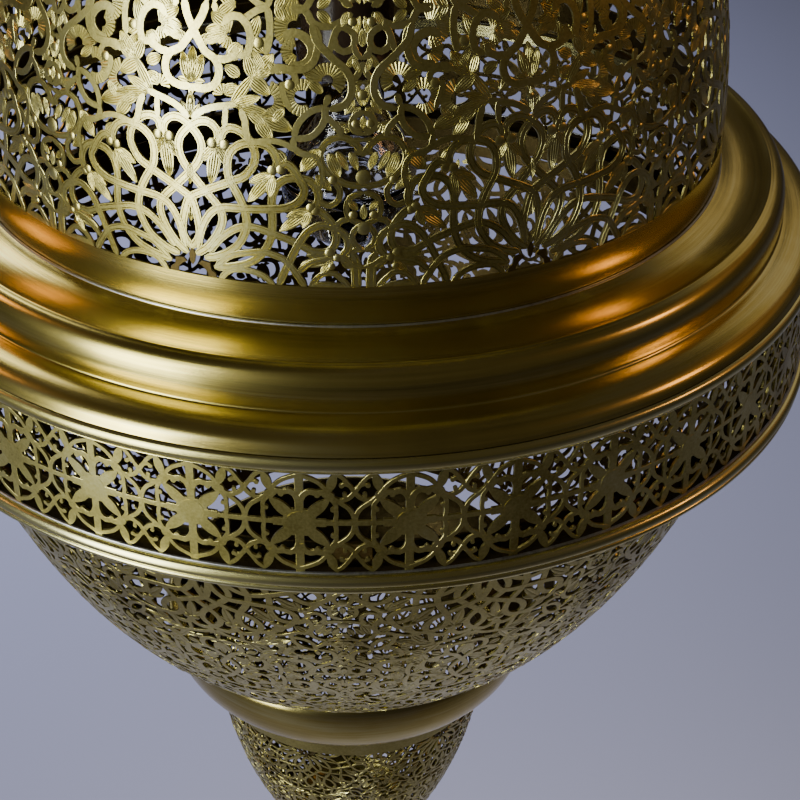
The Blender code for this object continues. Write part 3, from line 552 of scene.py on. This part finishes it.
def sheet_brass(name, dark, mid, light, rough_low, rough_high):
    """Cut and engraved sheet: rolled grain, fine scratches, tarnish in patches."""
    made, tree, shader = node_material(name, mid, rough_low)
    coordinates = tree.nodes.new("ShaderNodeTexCoord").outputs["Object"]
    cloud = noise(tree, coordinates, 22.0, 5.0, 0.62)
    grain = noise(tree, coordinates, 900.0, 3.0, 0.6)
    mixed = math_node(tree, "ADD", math_node(tree, "MULTIPLY", cloud, 0.7),
                      math_node(tree, "MULTIPLY", grain, 0.3))
    link(tree, ramp(tree, mixed, [(0.36, dark), (0.52, mid), (0.68, light)]), shader.inputs["Base Color"])
    link(tree, rough_range(tree, mixed, rough_high, rough_low), shader.inputs["Roughness"])
    bump(tree, shader, grain, 0.16, GRAIN_RELIEF)
    return made


DARK, MID, LIGHT = (0.30, 0.25, 0.065), (0.55, 0.485, 0.16), (0.68, 0.64, 0.31)
SPUN = spun_brass("spun_brass_look", DARK, (0.56, 0.455, 0.13), LIGHT, 0.17, 0.29)
# Painted shade: a nearly black copy of the sheet brass, for the faces that look inward or lie inside the
# lantern.
PAINTED_SHADE_BRASS = sheet_brass("painted_shade_inside_look", (0.04, 0.028, 0.010), (0.09, 0.065, 0.022), (0.15, 0.11, 0.040),
                     0.42, 0.60)
RIM = spun_brass("rim_brass_look", DARK, MID, LIGHT, 0.20, 0.32, 1.6)
PIERCED = sheet_brass("pierced_brass_look", DARK, MID, LIGHT, 0.24, 0.38)
FRIEZE_LOOK = sheet_brass("frieze_brass_look", DARK, MID, LIGHT, 0.28, 0.40)
BOWL_LOOK = sheet_brass("bowl_brass_look", (0.25, 0.21, 0.055), (0.45, 0.395, 0.125), (0.56, 0.52, 0.25),
                        0.24, 0.38)
# Painted shade: a darker copy of the spun brass, for the small collar.
PAINTED_SHADE_SPUN = spun_brass("painted_shade_spun_look", (0.22, 0.18, 0.045), (0.42, 0.335, 0.085), (0.54, 0.49, 0.22),
                  0.17, 0.29)
CAST = sheet_brass("cast_brass_look", (0.30, 0.20, 0.06), (0.55, 0.40, 0.14), LIGHT, 0.22, 0.42)
SOLDER = sheet_brass("solder_look", (0.20, 0.20, 0.20), (0.42, 0.43, 0.45), (0.62, 0.64, 0.67), 0.25, 0.45)
STEEL = sheet_brass("steel_look", (0.30, 0.30, 0.31), (0.48, 0.48, 0.50), (0.62, 0.62, 0.64), 0.25, 0.45)


def plain_look(name, dark, light, rough, metallic, scale, **sockets):
    made, tree, shader = node_material(name, light, rough, metallic, **sockets)
    coordinates = tree.nodes.new("ShaderNodeTexCoord").outputs["Object"]
    cloud = noise(tree, coordinates, scale, 4.0)
    link(tree, ramp(tree, cloud, [(0.35, dark), (0.65, light)]), shader.inputs["Base Color"])
    link(tree, rough_range(tree, cloud, rough * 0.8, rough * 1.2), shader.inputs["Roughness"])
    return made


PORCELAIN = plain_look("porcelain_look", (0.035, 0.022, 0.014), (0.060, 0.038, 0.024), 0.20, 0.0, 60.0)
RUBBER = plain_look("bush_look", (0.02, 0.02, 0.02), (0.05, 0.05, 0.05), 0.55, 0.0, 300.0)
BULB = plain_look("bulb_glass_look", (0.90, 0.91, 0.90), (0.95, 0.95, 0.94), 0.03, 0.0, 40.0,
                  **{"Transmission Weight": 1.0, "IOR": 1.45})
CAP = plain_look("cap_metal_look", (0.55, 0.55, 0.56), (0.72, 0.72, 0.73), 0.28, 1.0, 200.0)


# ---------------------------------------------------------------- turned pieces

def quad_curve(start, pull, end, steps):
    out = []
    for i in range(1, steps + 1):
        t = i / steps
        ends = zip(start, pull, end)
        out.append(tuple((1 - t) ** 2 * a + 2 * t * (1 - t) * b + t * t * c for a, b, c in ends))
    return out


def near(point, right, up):
    """A point of an outline, so many millimetres from another one."""
    return (point[0] + right * MM, point[1] + up * MM)


def round_bead(radius, height, half_width, half_height):
    turns = [2 * math.pi * k / 10 for k in range(10)]
    return [(radius + half_width * math.cos(a), height + half_height * math.sin(a)) for a in turns]


def lathe(name, outline, look, body, replaced=(), segments=256, facing=None):
    """A closed outline of (radius, height above the collar's lower edge) in metres, turned about the axis."""
    outline = np.array(outline, float)
    area = np.sum(outline[:, 0] * np.roll(outline[:, 1], -1) - np.roll(outline[:, 0], -1) * outline[:, 1])
    if area < 0:
        outline = outline[::-1]
    points, faces, rows = [], [], []
    angles = np.arange(segments) * 2 * np.pi / segments
    count = 0
    for r, z in outline:
        n = 1 if r < 1e-6 else segments
        a = angles[:n]
        points.append(np.stack([r * np.cos(a), r * np.sin(a), np.full(n, z + DATUM)], -1))
        rows.append(count + np.arange(n))
        count += n
    for here, after in zip(rows, rows[1:] + rows[:1]):
        if len(here) == 1 and len(after) == 1:
            continue
        a, b = np.resize(here, segments), np.resize(after, segments)
        a2 = np.roll(a, -1) if len(here) > 1 else a
        b2 = np.roll(b, -1) if len(after) > 1 else b
        if len(here) == 1:
            quads = np.stack([a, b2, b], -1)
        elif len(after) == 1:
            quads = np.stack([a, a2, b], -1)
        else:
            quads = np.stack([a, a2, b2, b], -1)
        faces.extend(quads.tolist())
    obj = new_object(name, np.concatenate(points), faces, look, facing)
    return settle(obj, body, replaced)


def settle(obj, body, replaced=()):
    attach(obj, body)
    if replaced:
        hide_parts(*replaced)
    return obj


def outline_of(node):
    """The outline of a turned CAD node, in order, as (radius, height above the collar's lower edge)."""
    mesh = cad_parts[node].data
    key = {}
    ids = []
    for v in mesh.vertices:
        ids.append(key.setdefault(tuple(round(c, 6) for c in v.co), len(key)))
    places = list(key)
    on = {i for i, p in enumerate(places) if abs(p[1]) < 2e-6 and p[0] > -1e-6}
    near = {i: set() for i in on}
    for edge in mesh.edges:
        a, b = ids[edge.vertices[0]], ids[edge.vertices[1]]
        if a in on and b in on and a != b:
            near[a].add(b)
            near[b].add(a)
    start = max(on, key=lambda i: places[i][0])
    loop, before = [start], None
    while True:
        options = [i for i in near[loop[-1]] if i != before and i not in loop[1:]]
        before = loop[-1]
        options = [i for i in options if i != start or len(loop) > 2]
        if not options or options[0] == start:
            break
        loop.append(options[0])
    return [(places[i][0], places[i][2] - DATUM) for i in loop]


def refined(outline, bevel=0.00018, steps=5, corner=38):
    """Rounds a coarse outline: smooth runs become curves, and sharp corners get a small bevel."""
    p = np.array(outline)
    n = len(p)
    sharp = []
    for i in range(n):
        a, b = p[i] - p[i - 1], p[(i + 1) % n] - p[i]
        if p[i][0] < 1e-6:
            sharp.append(True)
            continue
        turn = abs(math.degrees(math.atan2(a[0] * b[1] - a[1] * b[0], a @ b)))
        sharp.append(turn > corner)
    out = []
    for i in range(n):
        j = (i + 1) % n
        b, c = p[i], p[j]
        a = b - (c - b) if sharp[i] else p[i - 1]
        d = c + (c - b) if sharp[j] else p[(j + 1) % n]
        size = np.linalg.norm(c - b)
        if sharp[i] and b[0] > 1e-6:
            cut = min(bevel, 0.3 * size, 0.3 * np.linalg.norm(b - p[i - 1]))
            back = (p[i - 1] - b) / np.linalg.norm(p[i - 1] - b)
            out += [b + back * cut, b + (c - b) / size * cut]
        else:
            out.append(b)
        if not (sharp[i] and sharp[j]) and size > 0.0012 and min(b[0], c[0]) > 1e-6:
            for t in np.arange(1, steps) / steps:
                out.append(0.5 * (2 * b + (c - a) * t + (2 * a - 5 * b + 4 * c - d) * t * t
                                  + (3 * b - a - 3 * c + d) * t ** 3))
    return [(max(float(r), 0.0), float(z)) for r, z in out]


def returned(name, node, look, body, segments=160, facing=None):
    return lathe(name, refined(outline_of(node)), look, body, (node,), segments, facing)


def top_of(node):
    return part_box(node)[1].z - DATUM


def low_of(node):
    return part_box(node)[0].z - DATUM


# ---------------------------------------------------------------- upper body

BODY_LOW, BODY_HIGH = low_of("upper_body"), top_of("upper_body")
BODY_R = 0.1568
WIDEST = 0.0440
HALF_HEIGHT = 0.2350
SHEET = 0.0010
BAND_TOP = 0.0415
PHI_0 = math.radians(-20.6)
BODY_UNITS = 8


def body_point(height, inset=0.0):
    return (BODY_R * math.sqrt(1 - ((height - WIDEST) / HALF_HEIGHT) ** 2) - inset, height)


PIERCED_LOW, PIERCED_HIGH = BAND_TOP - 0.5 * MM, BODY_HIGH - 3.5 * MM
heights = np.linspace(PIERCED_LOW, PIERCED_HIGH, 240)
body_surface = Surface([body_point(z) for z in heights], 2 * math.pi / BODY_UNITS, 2 * HALF_UNIT)


def on_axis(*across):
    """True for an entry along the fan's axis or the panel's edge, which is built once and not mirrored."""
    return all(abs(x) < 0.01 for x in across) or all(abs(x - HALF_UNIT) < 0.01 for x in across)


def joined(parts):
    points = np.concatenate([p for p, _ in parts])
    faces, n = [], 0
    for p, f in parts:
        faces += [[i + n for i in face] for face in f]
        n += len(p)
    return points, faces


def cover(surface, spans, panel_name, units, start_angle, look, body, replaced, rich, facing):
    """One panel's mesh from motif copies (start, sign, scale, fan shown, slim, across), repeated round."""
    thick = SHEET_THICK
    parts, singles = [], []
    for start, sign, scale, with_fan, slim, across in spans:
        fullness = STRAND_FULLNESS if rich else BOWL_FULLNESS
        place = Place(start, sign, scale, surface.stretch, across, slim, fullness)
        sheet, single = Sheet(surface, place), Sheet(surface, place)
        step = 1.7 if rich else 2.3
        bands = (STRANDS if with_fan else []) + SCROLLS
        for number, (width, line) in enumerate(bands):
            profile = GROOVED if rich and number < len(STRANDS) and with_fan else PLAIN
            lift = -0.16 + 0.05 * (number % 4)
            chosen = single if on_axis(*(p[0] for p in line)) else sheet
            chosen.band(line, width, profile, lift, thick, step)
        for number, (x0, y0, x1, y1, width, flutes) in enumerate(LEAVES):
            if not with_fan and y0 < 58:
                continue
            few = flutes + 1 if rich else max(2, flutes - 2)
            chosen = single if on_axis(x0, x1) else sheet
            chosen.leaf(x0, y0, x1, y1, width, few, -0.13 + 0.03 * (number % 3), thick)
        for cx, cy, r0, r1, a0, a1, flutes in SHELLS:
            sheet.shell(cx, cy, r0, r1, a0, a1, flutes if rich else flutes // 2 + 2, -0.16, thick)
        for x, y, radius in DOTS:
            if with_fan or y > 58:
                (single if on_axis(x) else sheet).dot(x, y, radius, -0.05, thick)
        if with_fan:
            for outline in FIELDS:
                (single if outline[0][0] <= 0 else sheet).field(outline, -0.2, thick)
        parts.append(sheet.arrays())
        singles.append(single.arrays())
    points, faces = joined([mirrored(*joined(parts))] + singles)
    if surface.m[0, 1] > surface.m[-1, 1]:
        faces = [face[::-1] for face in faces]
    first = None
    for index in range(units):
        name = f"{panel_name}_{index + 1}"
        if first is None:
            obj = first = new_object(name, points, faces, look, facing)
        else:
            obj = bpy.data.objects.new(name, first.data)
            bpy.context.scene.collection.objects.link(obj)
        obj.matrix_world = Matrix.Rotation(start_angle + index * 2 * math.pi / units, 4, "Z")
        settle(obj, body, replaced if index == 0 else ())
    return first


body_length = body_surface.length
upper_scale = (body_length - 140.0) / 100.0
cover(body_surface, [(0.0, 1, 1.0, True, False, 1.0), (200.0, -1, 1.0, False, True, 1.0),
                     (body_length, -1, upper_scale, True, True, 1.0)],
      "pierced_body_panel", BODY_UNITS, PHI_0, PIERCED, "lantern", ("upper_body",), True, (1.0, 0.3, 0.0))

foot = [body_point(z) for z in np.linspace(BODY_LOW + 0.3 * MM, BAND_TOP + 1.1 * MM, 12)]
crest = [body_point(z) for z in np.linspace(BODY_HIGH - 6.0 * MM, BODY_HIGH, 8)]
for name, line, segments in (("body_foot_band", foot, 320), ("body_top_band", crest, 160)):
    lathe(name, line + [(r - SHEET, z) for r, z in reversed(line)], SPUN, "lantern", (),
          segments, (1.0, 0.3, 0.0))

# ---------------------------------------------------------------- spun collar, rims and frieze

RING_R = 0.2000
HEAVY = 0.0014
base_r = body_point(BODY_LOW)[0]
ledge = (base_r + 0.0222, top_of("ring_collar") - 0.0018)
ridge = (ledge[0] + 0.0060, ledge[1] - 0.0166)
COLLAR_TOP = top_of("ring_collar")
outer = [near((base_r, COLLAR_TOP), -4.0, 0), near((base_r, COLLAR_TOP), 0.8, 0),
         near((base_r, COLLAR_TOP), 1.4, -0.2)]
outer += quad_curve(outer[-1], near((base_r, ledge[1]), 9.5, -2.6), near(ledge, -1.6, -0.3), 12)
outer += quad_curve(outer[-1], near(ledge, -0.4, 0.4), near(ledge, 0.3, -0.2), 4)
outer += quad_curve(outer[-1], near((ridge[0], ledge[1]), 1.8, -1.4), near(ridge, -0.1, 1.2), 16)
outer += quad_curve(outer[-1], near(ridge, -0.4, 0), near(ridge, 0.8, -0.3), 5)
outer += quad_curve(outer[-1], near((RING_R, ridge[1]), -1.4, -0.6), near((RING_R, 0.0), -0.2, 0.6), 18)
outer += [(RING_R, 0.0)]
inner = [(r - HEAVY * 0.8, z - HEAVY * 0.75) for r, z in outer[2:-2]]
inner = [(base_r - 0.0040, COLLAR_TOP - HEAVY)] + inner + [(RING_R - HEAVY, 0.0)]
lathe("spun_collar", outer + inner[::-1], SPUN, "lantern", ("ring_collar",), 384, (0.6, 0.8, 0.0))

bead = round_bead(base_r + 0.6 * MM, COLLAR_TOP + 0.15 * MM, 0.55 * MM, 0.4 * MM)
lathe("solder_line", bead, SOLDER, "lantern", (), 320)


rim_top, rim_low = (RING_R, top_of("upper_rim")), (RING_R, low_of("upper_rim"))
rim_middle = (RING_R, (rim_top[1] + rim_low[1]) / 2)
rim = [near(rim_low, -4.0, 0), near(rim_top, -4.0, 0), near(rim_top, -0.4, 0)]
rim += quad_curve(rim[-1], near(rim_top, 1.8, -0.2), near(rim_middle, 2.0, 0.4), 8)
rim += quad_curve(rim[-1], near(rim_low, 1.9, 1.2), near(rim_low, 1.0, 1.0), 6)
rim += [near(rim_low, 0.7, 0.4), near(rim_low, 0.4, 0)]
lathe("upper_rim_bead", rim, RIM, "lantern", ("upper_rim",), 384)

fr_low, fr_high = low_of("frieze_band"), top_of("frieze_band")
rail_r = RING_R - 0.5 * MM
frieze_surface = Surface([(rail_r, z) for z in np.linspace(fr_low, fr_high, 3)],
                         2 * math.pi / FRIEZE_UNITS, 2 * FRIEZE_HALF_W)
frieze_mid = (fr_high - fr_low) / MM / 2
plain_place = Place(frieze_mid, 1, 1.0, frieze_surface.stretch)
plan, middle_plan = Sheet(frieze_surface, plain_place), Sheet(frieze_surface, plain_place)
for number, (width, line) in enumerate(FRIEZE_BARS):
    middle_plan.band(line, width, PLAIN, 0.03 * number - 0.06, RAIL_THICK, 4.0, False)


def round_field(sheet, x, y, radius, lift):
    turns = [2 * math.pi * k / 20 for k in range(20)]
    sheet.field([(x + radius * math.cos(t), y + radius * math.sin(t)) for t in turns], lift, RAIL_THICK)


round_field(middle_plan, 0, 0, FRIEZE_HUB, 0.04)
for number, (width, line) in enumerate(FRIEZE_BANDS):
    plan.band(line, width, PLAIN, -0.04 * (number % 4), RAIL_THICK, 1.1, False)
for x0, y0, x1, y1, width in FRIEZE_LEAVES:
    a, b = np.array([x0, y0]), np.array([x1, y1])
    t = np.linspace(0.0, 1.0, 13)
    side = np.array([-(b - a)[1], (b - a)[0]]) / np.linalg.norm(b - a)
    bulge = width / 2 * np.sin(np.pi * t) ** 0.8
    right = [tuple(a + (b - a) * s + side * w) for s, w in zip(t, bulge)]
    left = [tuple(a + (b - a) * s - side * w) for s, w in zip(t[-2:0:-1], bulge[-2:0:-1])]
    plan.field((right + left)[::-1], -0.02, RAIL_THICK)
for x, y, radius in FRIEZE_DOTS:
    round_field(plan, x, y, radius, -0.03)
flat, flat_faces = plan.arrays()
flat, flat_faces = mirrored(flat, flat_faces)
middle = DATUM + (fr_low + fr_high) / 2
other = flat * [1, 1, -1] + [0, 0, 2 * middle]
upside = (other, [list(reversed(f)) for f in flat_faces])
all_points, all_faces = joined([(flat, flat_faces), upside, middle_plan.arrays()])
group_points, group_faces = [], []
PER_PIECE = 4
PHI_FRIEZE = math.radians(6.1)
for k in range(PER_PIECE):
    turn = PHI_FRIEZE + 2 * math.pi * k / FRIEZE_UNITS
    c, s = math.cos(turn), math.sin(turn)
    rotated = all_points @ np.array([[c, s, 0], [-s, c, 0], [0, 0, 1]])
    group_faces += [[i + k * len(all_points) for i in f] for f in all_faces]
    group_points.append(rotated)
first = new_object("frieze_rosettes_1", np.concatenate(group_points), group_faces, FRIEZE_LOOK,
                   (1.0, 0.0, 0.0))
for index in range(FRIEZE_UNITS // PER_PIECE):
    obj = first
    if index:
        obj = bpy.data.objects.new(f"frieze_rosettes_{index + 1}", first.data.copy())
        bpy.context.scene.collection.objects.link(obj)
        obj.data.transform(Matrix.Rotation(2 * math.pi * PER_PIECE / FRIEZE_UNITS * index, 4, "Z"))
    settle(obj, "lantern", ("frieze_band",) if index == 0 else ())

low_top, low_low = top_of("lower_rim"), low_of("lower_rim")
MOULDING = 3.0 * MM
FLANGE = 17.0 * MM
crown, base = (RING_R + MOULDING, low_top), (RING_R + MOULDING, low_low)
rail_top, rail_in = (rail_r, low_top), rail_r - 3.5 * MM
lower = [(rail_in, low_top), near(rail_top, 0.4, 0), near(rail_top, 0.6, -0.3)]
lower += quad_curve(lower[-1], near(crown, -0.6, -0.4), near(crown, -0.2, -2.6), 8)
lower += quad_curve(lower[-1], near(crown, 0, -4.4), near(crown, -0.9, -5.0), 6)
lower += [near(crown, -1.3, -5.4)]
lower += quad_curve(lower[-1], near(crown, -0.4, -5.8), near(base, -0.8, 1.0), 5)
lower += quad_curve(lower[-1], near(base, -1.2, 0), near(base, -3.0, 0), 4)
flange_r = base[0] - FLANGE
lower += [(flange_r, low_low), (flange_r, low_low + HEAVY), (rail_in, low_low + HEAVY)]
lathe("lower_rim_bead", lower, RIM, "lantern", ("lower_rim",), 384,
      (0.0, 0.0, rail_r - 0.4 * MM))
bead = round_bead(rail_r + 0.3 * MM, low_top + 0.1 * MM, 0.6 * MM, 0.45 * MM)
lathe("frieze_foot_solder", bead, SOLDER, "lantern", (), 320)
bead = [(r, z - low_top + fr_high) for r, z in bead]
lathe("frieze_top_solder", bead, RIM, "lantern", (), 320)

# ---------------------------------------------------------------- bowls and small collar

returned("bowl_rim_ring", "bowl_rim", RIM, "bowl", 320, (0.3, -1.0, 0.0))

bowl_top, bowl_low = top_of("lower_bowl"), low_of("lower_bowl")
BOWL_R, FOOT_R, DEPTH = 0.1820, 0.0900, 0.1565
shoulder = (FOOT_R + 0.0070, bowl_low + 0.35 * 0.0070)
pull = (FOOT_R + 0.72 * (BOWL_R - FOOT_R), bowl_low + 0.33 * DEPTH)
bowl_line = [(BOWL_R, bowl_top)] + quad_curve((BOWL_R, bowl_top), pull, shoulder, 160)
BOWL_UNITS = 10
EDGE = 4.0
bowl_surface = Surface(bowl_line, 2 * math.pi / BOWL_UNITS, 2 * HALF_UNIT)
bowl_scale = (bowl_surface.length - 2 * EDGE) / 200.0
PHI_BOWL = math.radians(-19.0)
cover(bowl_surface, [(EDGE, 1, bowl_scale, True, True, 1.0),
                     (bowl_surface.length - EDGE, -1, bowl_scale, True, True, 1.0)],
      "pierced_bowl_panel", BOWL_UNITS, PHI_BOWL, BOWL_LOOK, "bowl", ("lower_bowl",), False, (1.0, -0.3, 0.0))


def strip(name, surface, start, end, body, look, segments=256, thick=0.0010):
    """A plain strip of the sheet between two distances along its meridian, in millimetres."""
    s = np.linspace(start, end, 8)
    r = np.interp(s, surface.s, surface.m[:, 0])
    z = np.interp(s, surface.s, surface.m[:, 1])
    nr = np.interp(s, surface.s, surface.n[:, 0])
    nz = np.interp(s, surface.s, surface.n[:, 1])
    rim_points = list(zip(r, z)) + list(zip(r - nr * thick, z - nz * thick))[::-1]
    return lathe(name, rim_points, look, body, (), segments, (1.0, -0.3, 0.0))


strip("bowl_top_strip", bowl_surface, 0.0, EDGE + 1.4, "bowl", BOWL_LOOK)
strip("bowl_foot_strip", bowl_surface, bowl_surface.length - EDGE - 2.0, bowl_surface.length, "bowl",
      BOWL_LOOK)
collar_top, collar_low = top_of("bowl_collar"), low_of("bowl_collar")
lip_r, collar_foot_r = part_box("bowl_collar")[1].x, 0.0700
lip, collar_foot = (lip_r, collar_top), (collar_foot_r, collar_low)
seat = (FOOT_R - 4.5 * MM, collar_top)
outer = [seat, near(lip, -5.0, 0)]
outer += quad_curve(outer[-1], near(lip, -0.6, -0.5), near(lip, 0, -6.5), 10)
outer += quad_curve(outer[-1], near((lip_r, collar_low), -0.4, 11.5), near(collar_foot, 3.0, 3.6), 14)
outer += quad_curve(outer[-1], near(collar_foot, 4.2, 2.6), near(collar_foot, 3.0, 1.0), 5)
outer += [collar_foot]
inner = [near(p, -0.9, -0.5) for p in outer[3:-3]]
inner = [near(seat, 0, -1.0)] + inner + [(collar_foot_r - HEAVY, collar_low)]
# The small collar gets the darker spun brass, which is painted shade.
lathe("small_collar", outer + inner[::-1], PAINTED_SHADE_SPUN, "bowl", ("bowl_collar",), 256, (1.0, 0.0, 0.0))

small_top, small_low = top_of("small_bowl"), low_of("small_bowl")
TOP_R, FLAT_R, SMALL_DEPTH = 0.0694, 0.0300, 0.1175
pull = (FLAT_R + 0.83 * (TOP_R - FLAT_R), small_low + 0.42 * SMALL_DEPTH)
small_line = [(TOP_R, small_top)] + quad_curve((TOP_R, small_top), pull, (FLAT_R, small_low + 0.0030), 120)
SMALL_UNITS = 6
small_surface = Surface(small_line, 2 * math.pi / SMALL_UNITS, 2 * HALF_UNIT)
SMALL_EDGE = 9.0
small_scale = (small_surface.length - SMALL_EDGE - 4.0) / 200.0
cover(small_surface, [(SMALL_EDGE, 1, small_scale, True, True, 1.0),
                      (small_surface.length - 4.0, -1, small_scale, True, True, 1.0)],
      "pierced_small_bowl_panel", SMALL_UNITS, PHI_BOWL, BOWL_LOOK, "bowl", (), False,
      (1.0, -0.3, 0.0))
strip("small_bowl_top_strip", small_surface, 0.0, SMALL_EDGE + 1.0, "bowl", BOWL_LOOK)
foot_s = np.linspace(small_surface.length - 5.5, small_surface.length, 5)
edge = [tuple(float(np.interp(x, small_surface.s, small_surface.m[:, k])) for k in (0, 1)) for x in foot_s]
STUD_HOLE_R = 4.3 * MM
flat = (FLAT_R, small_low)
plate = [near(flat, -4.0, 0), (STUD_HOLE_R, small_low), (STUD_HOLE_R, small_low + SHEET)]
plate += [near(flat, -4.2, SHEET / MM), near(flat, -1.0, 3.6)]
plate_outline = edge + plate + [near(p, -SHEET / MM, 0.2) for p in edge[-2::-1]]
lathe("small_bowl_plate", plate_outline, BOWL_LOOK, "bowl", ("small_bowl",), 160)

# ---------------------------------------------------------------- neck, crown, eye, finial and lamp

returned("neck_collar_spun", "neck_collar", SPUN, "lantern", 256)
returned("crown_cap_spun", "crown_cap", SPUN, "lantern", 192)
returned("finial_turned", "finial", CAST, "bowl", 160)
returned("neck_plate_turned", "neck_plate", RIM, "lantern", 128)
returned("holder_cap_turned", "holder_cap", PORCELAIN, "lantern", 96)
returned("holder_body_turned", "holder_body", PORCELAIN, "lantern", 96)
returned("bulb_cap_turned", "bulb_cap", CAP, "bulb", 96)
returned("bulb_glass_blown", "bulb_glass", BULB, "bulb", 96)


def torus(name, centre, ring_r, wire_r, turn, look, body, replaced, segments=96, sides=24):
    a = np.arange(segments)[:, None] * 2 * np.pi / segments
    b = np.arange(sides)[None, :] * 2 * np.pi / sides
    wear = 1 + 0.01 * np.sin(7 * a) * np.cos(3 * b)
    r = ring_r + wire_r * wear * np.cos(b)
    points = np.stack([r * np.cos(a), r * np.sin(a), wire_r * wear * np.sin(b)], -1).reshape(-1, 3)
    points = points @ np.array(turn.to_3x3()).T + np.array(centre)
    index = np.arange(segments * sides).reshape(segments, sides)
    up, right = np.roll(index, -1, 0), np.roll(index, -1, 1)
    both = np.roll(up, -1, 1)
    faces = np.stack([index, up, both, right], -1).reshape(-1, 4).tolist()
    obj = new_object(name, points, faces, look)
    return settle(obj, body, replaced)


ring_low, ring_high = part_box("hanging_ring")
wire = (ring_high.y - ring_low.y) / 2
outer_r = (ring_high.x - ring_low.x) / 2
centre = (ring_low + ring_high) / 2
torus("hanging_ring_wire", centre, outer_r - wire, wire, Matrix.Rotation(math.pi / 2, 4, "X"), CAST, "hook_ring",
      ("hanging_ring",))

for node, look in (("top_loop", CAST), ("loop_baluster", CAST), ("cable_bush", RUBBER), ("neck_washer", STEEL),
                   ("neck_nut", STEEL), ("stem_tube", STEEL), ("holder_nut", STEEL), ("finial_washer", STEEL),
                   ("finial_nut", STEEL), ("hinge_leaf_ring", CAST), ("hinge_pin", STEEL), ("catch_body", CAST),
                   ("hinge_leaf_bowl_left", CAST), ("hinge_leaf_bowl_right", CAST), ("catch_strike", STEEL)):
    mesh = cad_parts[node].data
    mesh.materials.clear()
    mesh.materials.append(look)

# ---------------------------------------------------------------- studio

FLOOR_Z = -1.9
floor_mesh = bpy.data.meshes.new("floor")
FLOOR = 12.0
floor_mesh.from_pydata([(-FLOOR, -FLOOR, 0), (FLOOR, -FLOOR, 0), (FLOOR, FLOOR, 0), (-FLOOR, FLOOR, 0)], [],
                       [(0, 1, 2, 3)])
floor = bpy.data.objects.new("floor", floor_mesh)
floor.location.z = FLOOR_Z
bpy.context.scene.collection.objects.link(floor)
floor_look, _, _ = node_material("floor_look", (0.44, 0.45, 0.60), 0.8, 0.0)
floor_mesh.materials.append(floor_look)

world = bpy.data.worlds.new("studio")
world.use_nodes = True
world.node_tree.nodes["Background"].inputs["Color"].default_value = (0.31, 0.265, 0.20, 1)
world.node_tree.nodes["Background"].inputs["Strength"].default_value = 0.16
bpy.context.scene.world = world


def area_light(name, place, target, size, power, colour, spread=180):
    data = bpy.data.lights.new(name, "AREA")
    data.shape = "RECTANGLE"
    data.size, data.size_y = size
    data.energy = power
    data.spread = math.radians(spread)
    data.color = colour
    obj = bpy.data.objects.new(name, data)
    bpy.context.scene.collection.objects.link(obj)
    obj.location = place
    obj.rotation_euler = (Vector(target) - Vector(place)).to_track_quat("-Z", "Y").to_euler()
    obj.visible_camera = False


AIM = (0, 0, DATUM)
area_light("window", (-1.35, -1.25, DATUM + 0.2), AIM, (0.68, 2.6), 18.5, (0.96, 1.0, 0.98), 80)
area_light("back_left", (-0.9, 1.5, DATUM + 1.5), AIM, (0.9, 0.7), 9, (1.0, 0.98, 0.93))
area_light("back_right", (1.3, 1.6, DATUM + 1.2), AIM, (1.2, 0.9), 1.3, (1.0, 0.84, 0.66))
area_light("warm_right", (1.33, -0.28, DATUM + 0.63), AIM, (0.26, 0.26), 1.9, (1.0, 0.48, 0.20))
area_light("warm_wall", (1.45, 0.40, DATUM + 0.80), AIM, (0.9, 0.8), 0.35, (1.0, 0.50, 0.20))
area_light("warm_left", (-1.30, 0.25, DATUM + 0.75), AIM, (0.4, 0.4), 2.6, (1.0, 0.50, 0.22))
area_light("floor_wash", (-1.5, 2.8, FLOOR_Z + 1.6), (-1.5, 2.8, FLOOR_Z), (3.4, 3.4), 68, (0.72, 0.78, 1.0))
area_light("floor_below", (0.2, 0.4, FLOOR_Z + 0.6), (0.2, 0.4, FLOOR_Z), (1.2, 1.2), 3, (1.0, 0.93, 0.80))

# ---------------------------------------------------------------- camera

camera_data = bpy.data.cameras.new("camera")
camera_data.sensor_width = 36
camera_data.lens = 1850 / 800 * 36
camera_data.clip_start = 0.01
camera = bpy.data.objects.new("camera", camera_data)
bpy.context.scene.collection.objects.link(camera)
PITCH, YAW, ROLL = math.radians(33.87), math.radians(1.88), math.radians(0.76)
camera.matrix_world = (Matrix.Translation((0, -0.7172, 0.3714 + DATUM)) @ Matrix.Rotation(-YAW, 4, "Z")
                       @ Matrix.Rotation(math.pi / 2 - PITCH, 4, "X") @ Matrix.Rotation(ROLL, 4, "Z"))
bpy.context.scene.camera = camera
